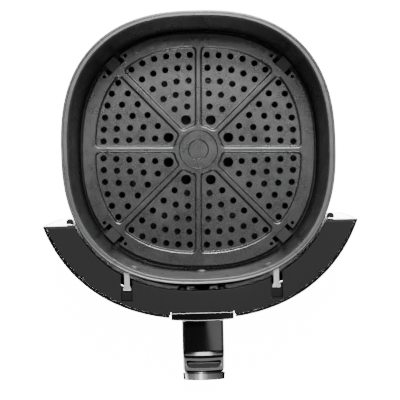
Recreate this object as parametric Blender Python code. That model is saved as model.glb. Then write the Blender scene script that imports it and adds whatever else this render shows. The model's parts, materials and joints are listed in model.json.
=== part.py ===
"""Drawer of a round-cornered air fryer: pan, crisper plate, front cover and handle.

Metres, +Z up, the origin at the centre of the pan's base. The handle points along -Y.
"""
import bpy
import bmesh
from math import asin, atan2, cos, pi, radians, sin, sqrt, tan
from mathutils import Matrix, Vector

mm = 0.001
gap = 0.3 * mm                  # between pieces that touch

# pan
rim_half_x = 124.0 * mm         # outer edge of the rolled rim
rim_half_y = rim_half_x - 0.5 * mm
rim_width_x = 6.1 * mm          # flange and bead, from the mouth outwards
rim_width_y = 4.7 * mm
opening_half_x = rim_half_x - rim_width_x
opening_half_y = rim_half_y - rim_width_y
round_power = 2.47              # superellipse exponent of the pan
pan_height = 104.0 * mm
pan_wall = 1.4 * mm
rim_depth = 3.6 * mm            # height of the rim's turned edge
wall_draft = 0.070              # how far the wall leans in, per unit of depth
floor_fillet = 7.0 * mm
mouth_depth = 2.5 * mm          # height of the bend at the mouth
rim_turn = 1.4 * mm             # bend of the rim's outer edge

# crisper plate
plate_power = 2.45
plate_top = 30.0 * mm           # height above the base
plate_thick = 5.0 * mm
pocket_depth = 3.0 * mm         # how far the perforated fields lie below the ribs
rib_width = 4.7 * mm
rib_count = 8
plate_play = 2.05 * mm          # from the plate's edge to the pan's wall
plate_border = 12.3 * mm        # from the plate's edge to the perforated fields
hub_radius = 22.0 * mm
hub_dish_radius = hub_radius - 3.5 * mm
hub_dimple_radius = 9.8 * mm
hub_step = 1.2 * mm
corner_radius = 4.0 * mm        # corners of a perforated field
ledge_width = 4.7 * mm          # shoulder in the pan that the plate rests on
plate_turn = radians(-1.4)      # the loose plate lies slightly turned in the pan

# perforations
small_hole = 5.6 * mm
big_hole = 9.0 * mm
first_row = hub_radius + 7.2 * mm
row_pitch = 12.2 * mm
row_margin = 7.0 * mm           # from the last row to the field's edge, at least
row_power = 2.8
rib_to_hole = 8.1 * mm          # from a rib's centre line to the outermost row's first hole
rib_to_hole_grow = 0.6 * mm     # added for each row further in

# bumpers on the plate's diagonals
bumper_count = 4
bumper_width = 12.5 * mm
bumper_inset = 8.3 * mm         # from the plate's corner inwards
bumper_reach = 2.2 * mm         # beyond the plate's corner
bumper_crown = 0.2 * mm         # above the plate's ribs
slot_width = 4.0 * mm           # open slot on each side of a bumper
tab_width = 9.0 * mm
tab_thick = 2.2 * mm
tie_hole = 3.3 * mm
tie_hole_inset = 4.7 * mm        # from the plate's corner inwards
tie_hole_angle = radians(7.15)

# front cover and shell
shell_power = 2.3
shell_wall = 2.5 * mm
shell_tuck = 8.0 * mm           # how far the shell draws in from top to bottom
front_top = pan_height + 4.0 * mm
front_bottom_z = 1.6 * mm
shoulder = 2.2 * mm             # chamfer of the shell's top edge
cover_gap_x = 1.0 * mm          # from the rim to the cover's inner edge
cover_gap_y = 5.5 * mm
cover_width_x = 27.4 * mm       # cover and shell together
cover_width_y = 26.0 * mm
cover_half_x = rim_half_x + cover_gap_x
cover_half_y = rim_half_y + cover_gap_y
shell_half_x = cover_half_x + cover_width_x
shell_half_y = cover_half_y + cover_width_y
cover_power = 2.4
cover_thick = 3.0 * mm
liner_wall = 2.0 * mm
liner_setback = 0.8 * mm        # liner behind the cover's inner edge
end_y_top = -68.0 * mm
end_y_bottom = -62.8 * mm
end_cap_thick = 2.5 * mm
bottom_thick = 2.0 * mm
bottom_play = 1.2 * mm          # from the base plate's inner edge to the pan
snap_angle = -47.2              # degrees; small notches in the cover's outer edge
snap_radius = 1.6 * mm

# hooks that carry the front on the pan
hook_x = 67.5 * mm
hook_width = 5.0 * mm
hook_thick = 2.0 * mm
hook_end_width = 7.4 * mm
hook_short = 3.0 * mm           # the hook's end before the cover's inner edge
hook_end_y = hook_short - cover_half_y
hook_flare = 2.0 * mm
hook_drop = 9.0 * mm
pad_width = 22.0 * mm
pad_height = 24.0 * mm
pocket_width = 10.4 * mm
pocket_length = 8.0 * mm        # past the cover's inner edge
pocket_end_y = -cover_half_y - pocket_length
catch_depth = 12.0 * mm
catch_play = 0.4 * mm           # from the block to the shell's inside
tab_bar_width = 14.0 * mm
tab_reach = 7.0 * mm            # past the cover's inner edge
tab_end_y = -cover_half_y - tab_reach
tab_foot = 9.0 * mm             # its pad, below the rivet

# rivets
rivet_radius = 2.0 * mm
rivet_head = 4.0 * mm
rivet_head_thick = 1.2 * mm
upper_rivet_x = 60.0 * mm
upper_rivet_z = pan_height - 15.0 * mm
lower_rivet_z = pan_height - 60.0 * mm
tab_z = lower_rivet_z + 6.0 * mm   # lower tab bracket's bar

# handle
root_half = 28.2 * mm
root_depth = 6.5 * mm           # inwards from the shell's face
root_inner_y = root_depth - shell_half_y
root_proud = 1.5 * mm
root_bottom = front_top - 46.0 * mm
root_slit = 1.5 * mm
arm_width = 38.0 * mm
arm_top = front_top - 8.5 * mm
handle_thick = 15.0 * mm
bend_y = -shell_half_y - 30.0 * mm   # where the arm's middle line turns down
knee_y = bend_y - 12.6 * mm     # top of the grip, on the middle line
knee_z = arm_top - 20.5 * mm
grip_foot_y = knee_y - 11.4 * mm
grip_foot_z = knee_z - 48.0 * mm
grip_screw_shares = (0.22, 0.80)     # along the grip
trim_thick = 1.8 * mm
trim_proud = 0.4 * mm           # past the grip's sides
trim_start = 1.5 * mm
pad_rise = 1.2 * mm
pad_shares = (0.34, 0.78)       # thumb pad along the slope
pad_inset = 3.0 * mm
end_bevel = 0.8 * mm
core_width = 24.0 * mm
core_thick = 3.0 * mm
core_short = 5.0 * mm           # the strap ends this far above the grip's foot
core_bends = ((6.0 * mm, 6.0 * mm), (4.0 * mm, 4.0 * mm))   # radii over and under the strap
mount_half = root_half - 2.2 * mm
mount_depth = 14.0 * mm
screw_radius = 2.0 * mm
screw_head = 4.0 * mm
screw_head_thick = 2.4 * mm
handle_screw_x = mount_half - 8.0 * mm
handle_screw_z = (root_bottom + 10.0 * mm, root_bottom + 32.0 * mm)
boss_radius = 4.5 * mm
boss_bore = 14.0 * mm
cover_screw_length = 12.0 * mm
boss_angles = (-143.0, -105.0, -75.0, -37.0)   # degrees about the pan's centre
guide_play = 0.4 * mm           # from the rim to a side guide's tip
guide_width = 6.0 * mm
guide_reach = 5.0 * mm
guide_height = 16.0 * mm

plate_bottom = plate_top - plate_thick
ledge_z = plate_bottom - gap
plate_half = opening_half_x - wall_draft * (pan_height - ledge_z) - plate_play
field_half = plate_half - plate_border
plate_corner = plate_half * 2.0 ** (0.5 - 1.0 / plate_power)   # on the diagonals
bumper_inner = plate_corner - bumper_inset
bumper_outer = plate_corner + bumper_reach
tie_hole_radius = plate_corner - tie_hole_inset
row_count = int((field_half - row_margin - first_row) / row_pitch) + 1
arc_steps = 36
pan_steps = 64


# ---------------------------------------------------------------- scene helpers
def clear_scene():
    for item in list(bpy.data.objects):
        bpy.data.objects.remove(item, do_unlink=True)


def make_material(name, colour, roughness, metallic=0.0):
    made = bpy.data.materials.new(name)
    made.use_nodes = True
    shader = made.node_tree.nodes["Principled BSDF"]
    shader.inputs["Base Color"].default_value = (*colour, 1.0)
    shader.inputs["Roughness"].default_value = roughness
    shader.inputs["Metallic"].default_value = metallic
    return made


def add_object(name, bm, material=None, smooth=False):
    bmesh.ops.recalc_face_normals(bm, faces=bm.faces)
    mesh = bpy.data.meshes.new(name)
    bm.to_mesh(mesh)
    bm.free()
    if smooth:
        mesh.shade_smooth()
        mesh.set_sharp_from_angle(angle=radians(35))
    made = bpy.data.objects.new(name, mesh)
    bpy.context.collection.objects.link(made)
    if material:
        mesh.materials.append(material)
    return made


def add_helper(name, bm):
    made = add_object(name, bm)
    made.hide_render = True
    made.display_type = 'WIRE'
    return made


def combine(target, helper, operation='DIFFERENCE'):
    modifier = target.modifiers.new(helper.name, 'BOOLEAN')
    modifier.operation = operation
    modifier.solver = 'EXACT'
    modifier.object = helper
    helper.parent = target.parent


# ---------------------------------------------------------------- outlines
def round_radius(angle, half_x, half_y, power):
    """Distance from the centre to a superellipse in the direction of the angle."""
    along = (abs(cos(angle)) / half_x) ** power + (abs(sin(angle)) / half_y) ** power
    return along ** (-1.0 / power)


def round_half_width(y, half_x, half_y, power):
    return half_x * (1.0 - (abs(y) / half_y) ** power) ** (1.0 / power)


def round_ring(half_x, half_y, power, z, steps):
    points = []
    for step in range(steps):
        angle = 2.0 * pi * step / steps
        radius = round_radius(angle, half_x, half_y, power)
        points.append(Vector((radius * cos(angle), radius * sin(angle), z)))
    return points


def front_arc(half_x, half_y, power, end_y, steps=arc_steps):
    """Points of a superellipse's front stretch, from the left end to the right one."""
    end_x = round_half_width(end_y, half_x, half_y, power)
    start = atan2(end_y, -end_x)
    stop = atan2(end_y, end_x)
    points = []
    for step in range(steps + 1):
        angle = start + (stop - start) * step / steps
        radius = round_radius(angle, half_x, half_y, power)
        points.append((radius * cos(angle), radius * sin(angle)))
    return points


def crescent(outer, inner, power_out, power_in, end_y):
    """Closed outline between two front arcs."""
    far_side = front_arc(outer[0], outer[1], power_out, end_y)
    near_side = front_arc(inner[0], inner[1], power_in, end_y)
    return far_side + near_side[::-1]


def filleted(points, radii, steps=4):
    """Polyline with round corners: one radius for each inner point."""
    result = [Vector(points[0])]
    for before, corner, after, radius in zip(points, points[1:], points[2:], radii):
        corner = Vector(corner)
        back = (Vector(before) - corner).normalized()
        ahead = (Vector(after) - corner).normalized()
        half_angle = back.angle(ahead) / 2.0
        centre = corner + (back + ahead).normalized() * radius / sin(half_angle)
        first = (corner + back * radius / tan(half_angle) - centre).normalized()
        last = (corner + ahead * radius / tan(half_angle) - centre).normalized()
        for step in range(steps + 1):
            result.append(centre + first.slerp(last, step / steps) * radius)
    result.append(Vector(points[-1]))
    return result


def offset_line(points, distance):
    """Polyline moved sideways, to the left of its direction, with mitred corners."""
    points = [Vector(point) for point in points]
    normals = []
    for start, end in zip(points, points[1:]):
        run = (end - start).normalized()
        normals.append(Vector((-run.y, run.x)))
    moved = [points[0] + normals[0] * distance]
    for point, before, after in zip(points[1:-1], normals, normals[1:]):
        mitre = (before + after).normalized()
        moved.append(point + mitre * distance / mitre.dot(before))
    moved.append(points[-1] + normals[-1] * distance)
    return moved


# ---------------------------------------------------------------- solids
def loft(bm, rings, closed=False):
    """Skin rings of equal length. An open loft gets a cap at each end."""
    rows = [[bm.verts.new(point) for point in ring] for ring in rings]
    pairs = list(zip(rows, rows[1:]))
    if closed:
        pairs.append((rows[-1], rows[0]))
    for lower, upper in pairs:
        count = len(lower)
        for index in range(count):
            after = (index + 1) % count
            bm.faces.new((lower[index], lower[after], upper[after], upper[index]))
    if not closed:
        bm.faces.new(rows[0])
        bm.faces.new(rows[-1])


def add_box(bm, low, high, turn=0.0):
    corners = ((low[0], low[1]), (high[0], low[1]), (high[0], high[1]), (low[0], high[1]))
    spin = Matrix.Rotation(turn, 3, 'Z')
    rings = [[spin @ Vector((x, y, z)) for x, y in corners] for z in (low[2], high[2])]
    loft(bm, rings)


def add_drum(bm, start, end, stations, sides=16):
    """Turned solid on the line from start to end; stations are (share, radius)."""
    axis = Vector(end) - Vector(start)
    turn = axis.to_track_quat('Z', 'Y')
    rings = []
    for share, radius in stations:
        ring = []
        for side in range(sides):
            angle = 2.0 * pi * (side + 0.5) / sides
            ring.append(Vector(start) + axis * share
                        + turn @ Vector((radius * cos(angle), radius * sin(angle), 0.0)))
        rings.append(ring)
    loft(bm, rings)


def add_prism(bm, outline, low_z, high_z):
    loft(bm, [[Vector((x, y, z)) for x, y in outline] for z in (low_z, high_z)])


def add_slab(bm, outline, half_width):
    """Outline in the YZ plane, thickened along X about the middle."""
    loft(bm, [[Vector((x, y, z)) for y, z in outline] for x in (-half_width, half_width)])


# ---------------------------------------------------------------- pan
def wall_halves(z):
    """Half sizes of the pan's inside above the ledge."""
    lean = wall_draft * (pan_height - z)
    return opening_half_x - lean, opening_half_y - lean


def wall_point(x, z, offset):
    """Point of the front wall at the given x, and the wall's outward normal there."""
    def at(px, pz):
        half_x, half_y = wall_halves(pz)
        half_x, half_y = half_x + offset, half_y + offset
        depth = half_y * (1.0 - (abs(px) / half_x) ** round_power) ** (1.0 / round_power)
        return Vector((px, -depth, pz))

    step = 0.5 * mm
    along = at(x + step, z) - at(x - step, z)
    up = at(x, z + step) - at(x, z - step)
    normal = along.cross(up).normalized()
    if normal.y > 0.0:
        normal.negate()
    return at(x, z), normal


def build_pan(material):
    half_x, half_y = wall_halves(ledge_z)
    tub_x, tub_y = half_x - ledge_width, half_x - ledge_width
    top_x, top_y = wall_halves(pan_height - mouth_depth)
    out_x, out_y = wall_halves(pan_height - rim_depth)
    floor_x, floor_y = tub_x - floor_fillet, tub_y - floor_fillet
    bend = floor_fillet * 0.3
    stations = (
        (floor_x, floor_y, pan_wall),
        (tub_x - bend, tub_y - bend, pan_wall + bend),
        (tub_x, tub_y, pan_wall + floor_fillet),
        (tub_x, tub_y, ledge_z),
        (half_x, half_y, ledge_z),
        (top_x, top_y, pan_height - mouth_depth),
        (opening_half_x + 1.8 * mm, opening_half_y + 1.2 * mm, pan_height),
        (rim_half_x - rim_turn, rim_half_y - rim_turn, pan_height),
        (rim_half_x, rim_half_y, pan_height - rim_turn),
        (rim_half_x, rim_half_y, pan_height - rim_depth),
        (out_x + pan_wall, out_y + pan_wall, pan_height - rim_depth),
        (half_x + pan_wall, half_y + pan_wall, ledge_z - pan_wall),
        (tub_x + pan_wall, tub_y + pan_wall, ledge_z - pan_wall),
        (tub_x + pan_wall, tub_y + pan_wall, floor_fillet),
        (tub_x + pan_wall - bend, tub_y + pan_wall - bend, bend),
        (floor_x, floor_y, 0.0),
    )
    bm = bmesh.new()
    loft(bm, [round_ring(x, y, round_power, z, pan_steps) for x, y, z in stations])
    pan = add_object("pan", bm, material, smooth=True)
    bores = bmesh.new()
    for x, z in rivet_places():
        point, normal = wall_point(x, z, 0.0)
        add_drum(bores, point - normal * 5 * mm, point + normal * 6 * mm,
                 ((0.0, rivet_radius + gap), (1.0, rivet_radius + gap)), 12)
    combine(pan, add_helper("cut_rivet_bores", bores))
    return pan


def rivet_places():
    return ((-upper_rivet_x, upper_rivet_z), (upper_rivet_x, upper_rivet_z),
            (0.0, lower_rivet_z))


def build_rivets(material):
    names = ("rivet_upper_left", "rivet_upper_right", "rivet_lower")
    grip = pan_wall + gap + hook_thick + gap
    for name, (x, z) in zip(names, rivet_places()):
        point, normal = wall_point(x, z, 0.0)
        start = point - normal * (gap + rivet_head_thick)
        end = point + normal * (grip + rivet_head_thick)
        length = (end - start).length
        near = rivet_head_thick / length
        bm = bmesh.new()
        add_drum(bm, start, end, ((0.0, rivet_head * 0.7), (near * 0.6, rivet_head),
                                  (near, rivet_head), (near, rivet_radius),
                                  (1.0 - near, rivet_radius), (1.0 - near, rivet_head),
                                  (1.0, rivet_head * 0.8)), 12)
        add_object(name, bm, material, smooth=True)


# ---------------------------------------------------------------- brackets on the pan
def wall_pad(bm, centre_x, width, low_z, high_z):
    """Curved plate that follows the pan's outside."""
    columns = 6
    rings = []
    for column in range(columns + 1):
        x = centre_x + width * (column / columns - 0.5)
        ring = []
        for z, depth in ((low_z, 0.0), (low_z, hook_thick), (high_z, hook_thick), (high_z, 0.0)):
            point, normal = wall_point(x, z, pan_wall)
            ring.append(point + normal * (gap + depth))
        rings.append(ring)
    loft(bm, rings)


def cut_rivet_hole(target, x, z):
    point, normal = wall_point(x, z, 0.0)
    bm = bmesh.new()
    radius = rivet_radius + gap
    add_drum(bm, point - normal * 2 * mm, point + normal * 8 * mm,
             ((0.0, radius), (1.0, radius)), 12)
    combine(target, add_helper("cut_hole_" + target.name, bm))


def build_hook(name, side, material):
    top = pan_height - rim_depth - 2 * gap
    low = top - hook_thick
    centre = side * (upper_rivet_x + hook_x) / 2.0
    bm = bmesh.new()
    wall_pad(bm, centre, pad_width, top - pad_height, top - 0.1 * mm)
    hook = add_object(name, bm, material, smooth=True)
    narrow, wide = hook_width / 2.0, hook_end_width / 2.0
    start, _ = wall_point(side * (hook_x - narrow), top, pan_wall)
    root_y = start.y - 2.0 * gap
    flare_y = hook_end_y + hook_flare
    outline = ((-narrow, root_y), (-narrow, flare_y), (-wide, hook_end_y),
               (-wide, hook_end_y - hook_thick), (wide, hook_end_y - hook_thick),
               (wide, hook_end_y), (narrow, flare_y), (narrow, root_y))
    bar = bmesh.new()
    add_prism(bar, [(x + side * hook_x, y) for x, y in outline], low, top)
    combine(hook, add_helper("join_bar_" + name, bar), 'UNION')
    lip = bmesh.new()
    add_box(lip, (side * hook_x - wide, hook_end_y - hook_thick, low - hook_drop),
            (side * hook_x + wide, hook_end_y, low + 1.0 * mm))
    combine(hook, add_helper("join_lip_" + name, lip), 'UNION')
    cut_rivet_hole(hook, side * upper_rivet_x, upper_rivet_z)


def build_lower_tab(material):
    bm = bmesh.new()
    wall_pad(bm, 0.0, pad_width, lower_rivet_z - tab_foot, tab_z + hook_thick)
    tab = add_object("lower_tab", bm, material, smooth=True)
    start, _ = wall_point(0.0, tab_z, pan_wall)
    bar = bmesh.new()
    half = tab_bar_width / 2.0
    add_box(bar, (-half, tab_end_y, tab_z), (half, start.y - 1.0 * mm, tab_z + hook_thick - 0.1 * mm))
    combine(tab, add_helper("join_bar_lower_tab", bar), 'UNION')
    cut_rivet_hole(tab, 0.0, lower_rivet_z)


# ---------------------------------------------------------------- crisper plate
def field_outline():
    """One perforated field, between the ribs at 0 and 45 degrees."""
    spread = 2.0 * pi / rib_count
    half_rib = rib_width / 2.0

    def corner_angle(radius):
        return asin(half_rib / radius)

    outer = []
    steps = 8
    start = corner_angle(field_half)
    for step in range(steps + 1):
        angle = start + (spread - 2.0 * start) * step / steps
        radius = round_radius(angle, field_half, field_half, plate_power)
        outer.append((radius * cos(angle), radius * sin(angle)))
    inner = []
    near = hub_radius
    begin = corner_angle(near)
    for step in range(4):
        angle = spread - begin - (spread - 2.0 * begin) * step / 3
        inner.append((near * cos(angle), near * sin(angle)))
    return outer, inner


def turned(field, angle):
    """Angle of a point in the given field; every second field is a mirror image."""
    spread = 2.0 * pi / rib_count
    if field % 2:
        return (field + 1) * spread - angle
    return field * spread + angle


def field_point(field, place, z):
    radius, angle = Vector(place).length, turned(field, atan2(place[1], place[0]))
    return Vector((radius * cos(angle), radius * sin(angle), z))


def cut_fields(plate):
    bm = bmesh.new()
    outer, inner = field_outline()
    outline = outer + inner
    corners = [outer[0], outer[-1], inner[0], inner[-1]]
    levels = (plate_top - pocket_depth, plate_top + mm)
    for field in range(rib_count):
        part = bmesh.new()
        loft(part, [[field_point(field, place, z) for place in outline] for z in levels])
        posts = [field_point(field, place, 0.0).xy for place in corners]
        edges = []
        for edge in part.edges:
            first, second = (vert.co for vert in edge.verts)
            upright = abs(first.z - second.z) > 0.5 * mm
            if upright and any((first.xy - post).length < 0.01 * mm for post in posts):
                edges.append(edge)
        bmesh.ops.bevel(part, geom=edges, offset=corner_radius, offset_type='OFFSET',
                        segments=2, profile=0.5, affect='EDGES', clamp_overlap=True)
        mesh = bpy.data.meshes.new("field")
        part.to_mesh(mesh)
        part.free()
        bm.from_mesh(mesh)
        bpy.data.meshes.remove(mesh)
    combine(plate, add_helper("cut_fields", bm))


def hole_places():
    """Places and diameters of one field's holes, from the hub outwards."""
    spread = 2.0 * pi / rib_count
    for row in range(row_count):
        base = first_row + row_pitch * row
        if row == 0:
            radius = round_radius(spread / 2.0, base, base, row_power)
            yield radius, spread / 2.0, big_hole
            continue
        off = rib_to_hole + rib_to_hole_grow * (row_count - 1 - row)
        start = asin(off / round_radius(radians(8), base, base, row_power))
        count = row + 1
        for index in range(count):
            angle = start + (spread - 2.0 * start) * index / (count - 1)
            yield round_radius(angle, base, base, row_power), angle, small_hole


def cut_holes(plate):
    bm = bmesh.new()
    low, high = plate_bottom - mm, plate_top + mm
    for field in range(rib_count):
        for radius, angle, size in hole_places():
            heading = turned(field, angle)
            x, y = radius * cos(heading), radius * sin(heading)
            sides = 10 if size == big_hole else 6
            add_drum(bm, (x, y, low), (x, y, high), ((0.0, size / 2.0), (1.0, size / 2.0)), sides)
    for corner in range(bumper_count):
        for side in (-1.0, 1.0):
            angle = diagonal(corner) + side * tie_hole_angle
            x, y = tie_hole_radius * cos(angle), tie_hole_radius * sin(angle)
            add_drum(bm, (x, y, low), (x, y, high),
                     ((0.0, tie_hole / 2.0), (1.0, tie_hole / 2.0)), 6)
    combine(plate, add_helper("cut_holes", bm))


def diagonal(corner):
    return pi / 4.0 + corner * pi / 2.0


def plate_rectangle(radius, half_width, low, high, turn):
    """Upright rectangle across a diagonal of the plate, at a distance from its centre."""
    spin = Matrix.Rotation(turn, 3, 'Z')
    corners = ((-half_width, low), (half_width, low), (half_width, high), (-half_width, high))
    return [spin @ Vector((radius, across, z)) for across, z in corners]


def cut_bumper_seats(plate):
    """Slots beside and over each tab, leaving the tab that the bumper slides on to."""
    bm = bmesh.new()
    wide = bumper_width / 2.0 + slot_width
    start = bumper_inner - gap
    stop = bumper_outer + 10 * mm
    middle = (plate_top + plate_bottom) / 2.0
    for corner in range(bumper_count):
        turn = diagonal(corner)
        around = (wide, plate_bottom - mm, plate_top + mm)
        tab = (tab_width / 2.0, middle - tab_thick / 2.0, middle + tab_thick / 2.0)
        loft(bm, [plate_rectangle(start, *around, turn), plate_rectangle(stop, *around, turn),
                  plate_rectangle(stop, *tab, turn), plate_rectangle(start, *tab, turn)],
             closed=True)
    combine(plate, add_helper("cut_bumper_seats", bm))


def build_plate(material, axis):
    bm = bmesh.new()
    loft(bm, [round_ring(plate_half - 0.6 * mm, plate_half - 0.6 * mm, plate_power, plate_bottom, 96),
              round_ring(plate_half, plate_half, plate_power, plate_bottom + 0.6 * mm, 96),
              round_ring(plate_half, plate_half, plate_power, plate_top - mm, 96),
              round_ring(plate_half - mm, plate_half - mm, plate_power, plate_top, 96)])
    plate = add_object("crisper_plate", bm, material, smooth=True)
    plate.parent = axis
    cut_fields(plate)
    hub = bmesh.new()
    dish, dimple = plate_top - hub_step, plate_top - 2.0 * hub_step
    span = plate_top + mm - dimple
    add_drum(hub, (0, 0, dimple), (0, 0, plate_top + mm),
             ((0.0, hub_dimple_radius), ((dish - dimple) / span, hub_dimple_radius),
              ((dish - dimple) / span, hub_dish_radius), (1.0, hub_dish_radius)), 24)
    combine(plate, add_helper("cut_hub", hub))
    cut_bumper_seats(plate)
    cut_holes(plate)
    return plate


def build_bumpers(material, axis):
    middle = (plate_top + plate_bottom) / 2.0
    tab_end = round_radius(pi / 4.0, plate_half, plate_half, plate_power)
    for corner in range(bumper_count):
        turn = diagonal(corner)
        outside = (bumper_width / 2.0, plate_bottom, plate_top + bumper_crown)
        inside = (tab_width / 2.0 + gap, middle - tab_thick / 2.0 - gap,
                  middle + tab_thick / 2.0 + gap)
        bm = bmesh.new()
        loft(bm, [plate_rectangle(bumper_outer, *outside, turn),
                  plate_rectangle(bumper_inner, *outside, turn),
                  plate_rectangle(bumper_inner, *inside, turn),
                  plate_rectangle(tab_end + gap, *inside, turn)])
        bumper = add_object(f"plate_bumper_{corner + 1}", bm, material)
        bumper.parent = axis


# ---------------------------------------------------------------- front
def front_end_y(z):
    share = (z - front_bottom_z) / (front_top - front_bottom_z)
    return end_y_bottom + (end_y_top - end_y_bottom) * share


def shell_halves(z):
    """Half sizes of the shell's outside, which draws in towards the bottom."""
    fall = (front_top - z) / (front_top - front_bottom_z)
    tuck = shell_tuck * fall ** 1.6
    chamfer = max(0.0, z - (front_top - shoulder))
    return shell_half_x - tuck - chamfer, shell_half_y - tuck - chamfer


def shell_levels():
    even = [front_bottom_z + (front_top - shoulder - front_bottom_z) * step / 5 for step in range(6)]
    return even + [front_top]


def build_shell(material):
    rings = []
    for z in shell_levels():
        outer = shell_halves(z)
        inner_z = min(z, front_top - shoulder)
        inner = [half - shell_wall for half in shell_halves(inner_z)]
        outline = crescent(outer, inner, shell_power, shell_power, front_end_y(z))
        rings.append([Vector((x, y, z)) for x, y in outline])
    bm = bmesh.new()
    loft(bm, rings)
    shell = add_object("front_shell", bm, material, smooth=True)
    notch = bmesh.new()
    half = root_half + root_slit
    add_box(notch, (-half, -shell_half_y - 10 * mm, root_bottom - root_slit),
            (half, -shell_half_y + 12 * mm, front_top + 5 * mm))
    combine(shell, add_helper("cut_root_notch", notch))
    return shell


def shell_inside(z):
    return [half - shell_wall - gap for half in shell_halves(min(z, front_top - shoulder))]


def shell_inside_depth(x, z):
    half_x, half_y = shell_inside(z)
    return half_y * (1.0 - (abs(x) / half_x) ** shell_power) ** (1.0 / shell_power)


def liner_halves(offset):
    return cover_half_x + liner_setback + offset, cover_half_y + liner_setback + offset


def build_liner(material):
    outer, inner = liner_halves(liner_wall), liner_halves(0.0)
    rings = []
    low = front_bottom_z + bottom_thick + gap
    high = front_top - cover_thick - gap
    for z in (low, high):
        outline = crescent(outer, inner, cover_power, cover_power, front_end_y(z))
        rings.append([Vector((x, y, z)) for x, y in outline])
    bm = bmesh.new()
    loft(bm, rings)
    liner = add_object("front_liner", bm, material, smooth=True)
    slots = bmesh.new()
    half = pocket_width / 2.0
    hook_top = pan_height - rim_depth
    for side in (-1.0, 1.0):
        add_box(slots, (side * hook_x - half, -shell_half_y, hook_top - hook_drop - 5 * mm),
                (side * hook_x + half, -rim_half_y / 2.0, front_top))
    wide = tab_bar_width / 2.0 + mm
    add_box(slots, (-wide, -shell_half_y, tab_z - mm), (wide, -rim_half_y, tab_z + hook_thick + mm))
    combine(liner, add_helper("cut_liner_slots", slots))
    combine(liner, add_helper("cut_liner_screws", screw_bores()))
    return liner


def screw_bores():
    bm = bmesh.new()
    radius = screw_radius + gap
    for x, z in screw_places():
        add_drum(bm, (x, -rim_half_y, z), (x, screw_tip_y() - mm, z),
                 ((0.0, radius), (1.0, radius)), 12)
    return bm


def screw_places():
    return [(side * handle_screw_x, z) for z in handle_screw_z for side in (-1.0, 1.0)]


def screw_tip_y():
    return root_inner_y - 5.0 * mm


def boss_places():
    """Centres of the cover's screw bosses, midway between liner and shell at the base."""
    places = []
    for degrees in boss_angles:
        angle = radians(degrees)
        near = round_radius(angle, *liner_halves(liner_wall), cover_power)
        far = round_radius(angle, *shell_inside(front_bottom_z), shell_power)
        radius = (near + far) / 2.0
        places.append((radius * cos(angle), radius * sin(angle)))
    return places


def snap_place(side):
    angle = radians(snap_angle)
    radius = round_radius(angle, *shell_inside(front_top), shell_power)
    return side * radius * cos(angle), radius * sin(angle)


def build_cover(material):
    under = front_top - cover_thick
    bm = bmesh.new()
    inner = (cover_half_x, cover_half_y)
    outer = shell_inside(front_top)
    outline = crescent(outer, inner, shell_power, cover_power, front_end_y(front_top))
    add_prism(bm, outline, under, front_top)
    cover = add_object("cover_top", bm, material)
    posts = bmesh.new()
    foot = front_bottom_z + bottom_thick + gap
    for x, y in boss_places():
        add_drum(posts, (x, y, foot), (x, y, under + mm), ((0.0, boss_radius), (1.0, boss_radius)), 12)
    combine(cover, add_helper("join_bosses", posts), 'UNION')
    cuts = bmesh.new()
    half = pocket_width / 2.0
    for side in (-1.0, 1.0):
        add_box(cuts, (side * hook_x - half, pocket_end_y, under - mm),
                (side * hook_x + half, -rim_half_y / 2.0, front_top + mm))
        snap_x, snap_y = snap_place(side)
        add_drum(cuts, (snap_x, snap_y, under - mm), (snap_x, snap_y, front_top + mm),
                 ((0.0, snap_radius), (1.0, snap_radius)), 8)
    add_box(cuts, (-root_half - gap, -shell_half_y, under - mm),
            (root_half + gap, root_inner_y + gap, front_top + mm))
    combine(cover, add_helper("cut_cover_pockets", cuts))
    holes = bmesh.new()
    for x, y in boss_places():
        add_drum(holes, (x, y, foot - mm), (x, y, foot + boss_bore),
                 ((0.0, screw_radius + gap), (1.0, screw_radius + gap)), 12)
    combine(cover, add_helper("cut_boss_bores", holes))
    return cover


def build_bottom(material):
    outer = shell_inside(front_bottom_z)
    beside_pan = wall_halves(ledge_z)[0] - ledge_width + pan_wall + bottom_play
    rings = []
    for z in (front_bottom_z, front_bottom_z + bottom_thick):
        outline = crescent(outer, (beside_pan, beside_pan), shell_power, round_power,
                           front_end_y(z) - end_cap_thick - gap)
        rings.append([Vector((x, y, z)) for x, y in outline])
    bm = bmesh.new()
    loft(bm, rings)
    bottom = add_object("front_bottom", bm, material)
    holes = bmesh.new()
    for x, y in boss_places():
        add_drum(holes, (x, y, 0.0), (x, y, front_bottom_z + bottom_thick + mm),
                 ((0.0, screw_radius + gap), (1.0, screw_radius + gap)), 12)
    combine(bottom, add_helper("cut_bottom_holes", holes))
    return bottom


def build_cover_screws(material):
    for index, (x, y) in enumerate(boss_places()):
        low = front_bottom_z - 1.4 * mm
        high = front_bottom_z + bottom_thick + cover_screw_length
        under_head = (front_bottom_z - gap - low) / (high - low)
        bm = bmesh.new()
        add_drum(bm, (x, y, low), (x, y, high),
                 ((0.0, screw_head * 0.8), (under_head, screw_head),
                  (under_head, screw_radius), (1.0, screw_radius)), 12)
        add_object(f"cover_screw_{index + 1}", bm, material, smooth=True)


def build_end_cap(name, side, material):
    levels = [z for z in shell_levels() if z < front_top - cover_thick]
    levels[0] = front_bottom_z
    levels[-1] = front_top - cover_thick - gap
    rings = []
    for z in levels:
        back = front_end_y(z)
        ring = []
        for y in (back - end_cap_thick, back):
            near = round_half_width(y, *liner_halves(liner_wall + gap), cover_power)
            far = round_half_width(y, *shell_inside(z), shell_power) - 0.1 * mm
            ring += [(near, y), (far, y)] if y < back else [(far, y), (near, y)]
        rings.append([Vector((side * x, y, z)) for x, y in ring])
    bm = bmesh.new()
    loft(bm, rings)
    add_object(name, bm, material)


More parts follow.
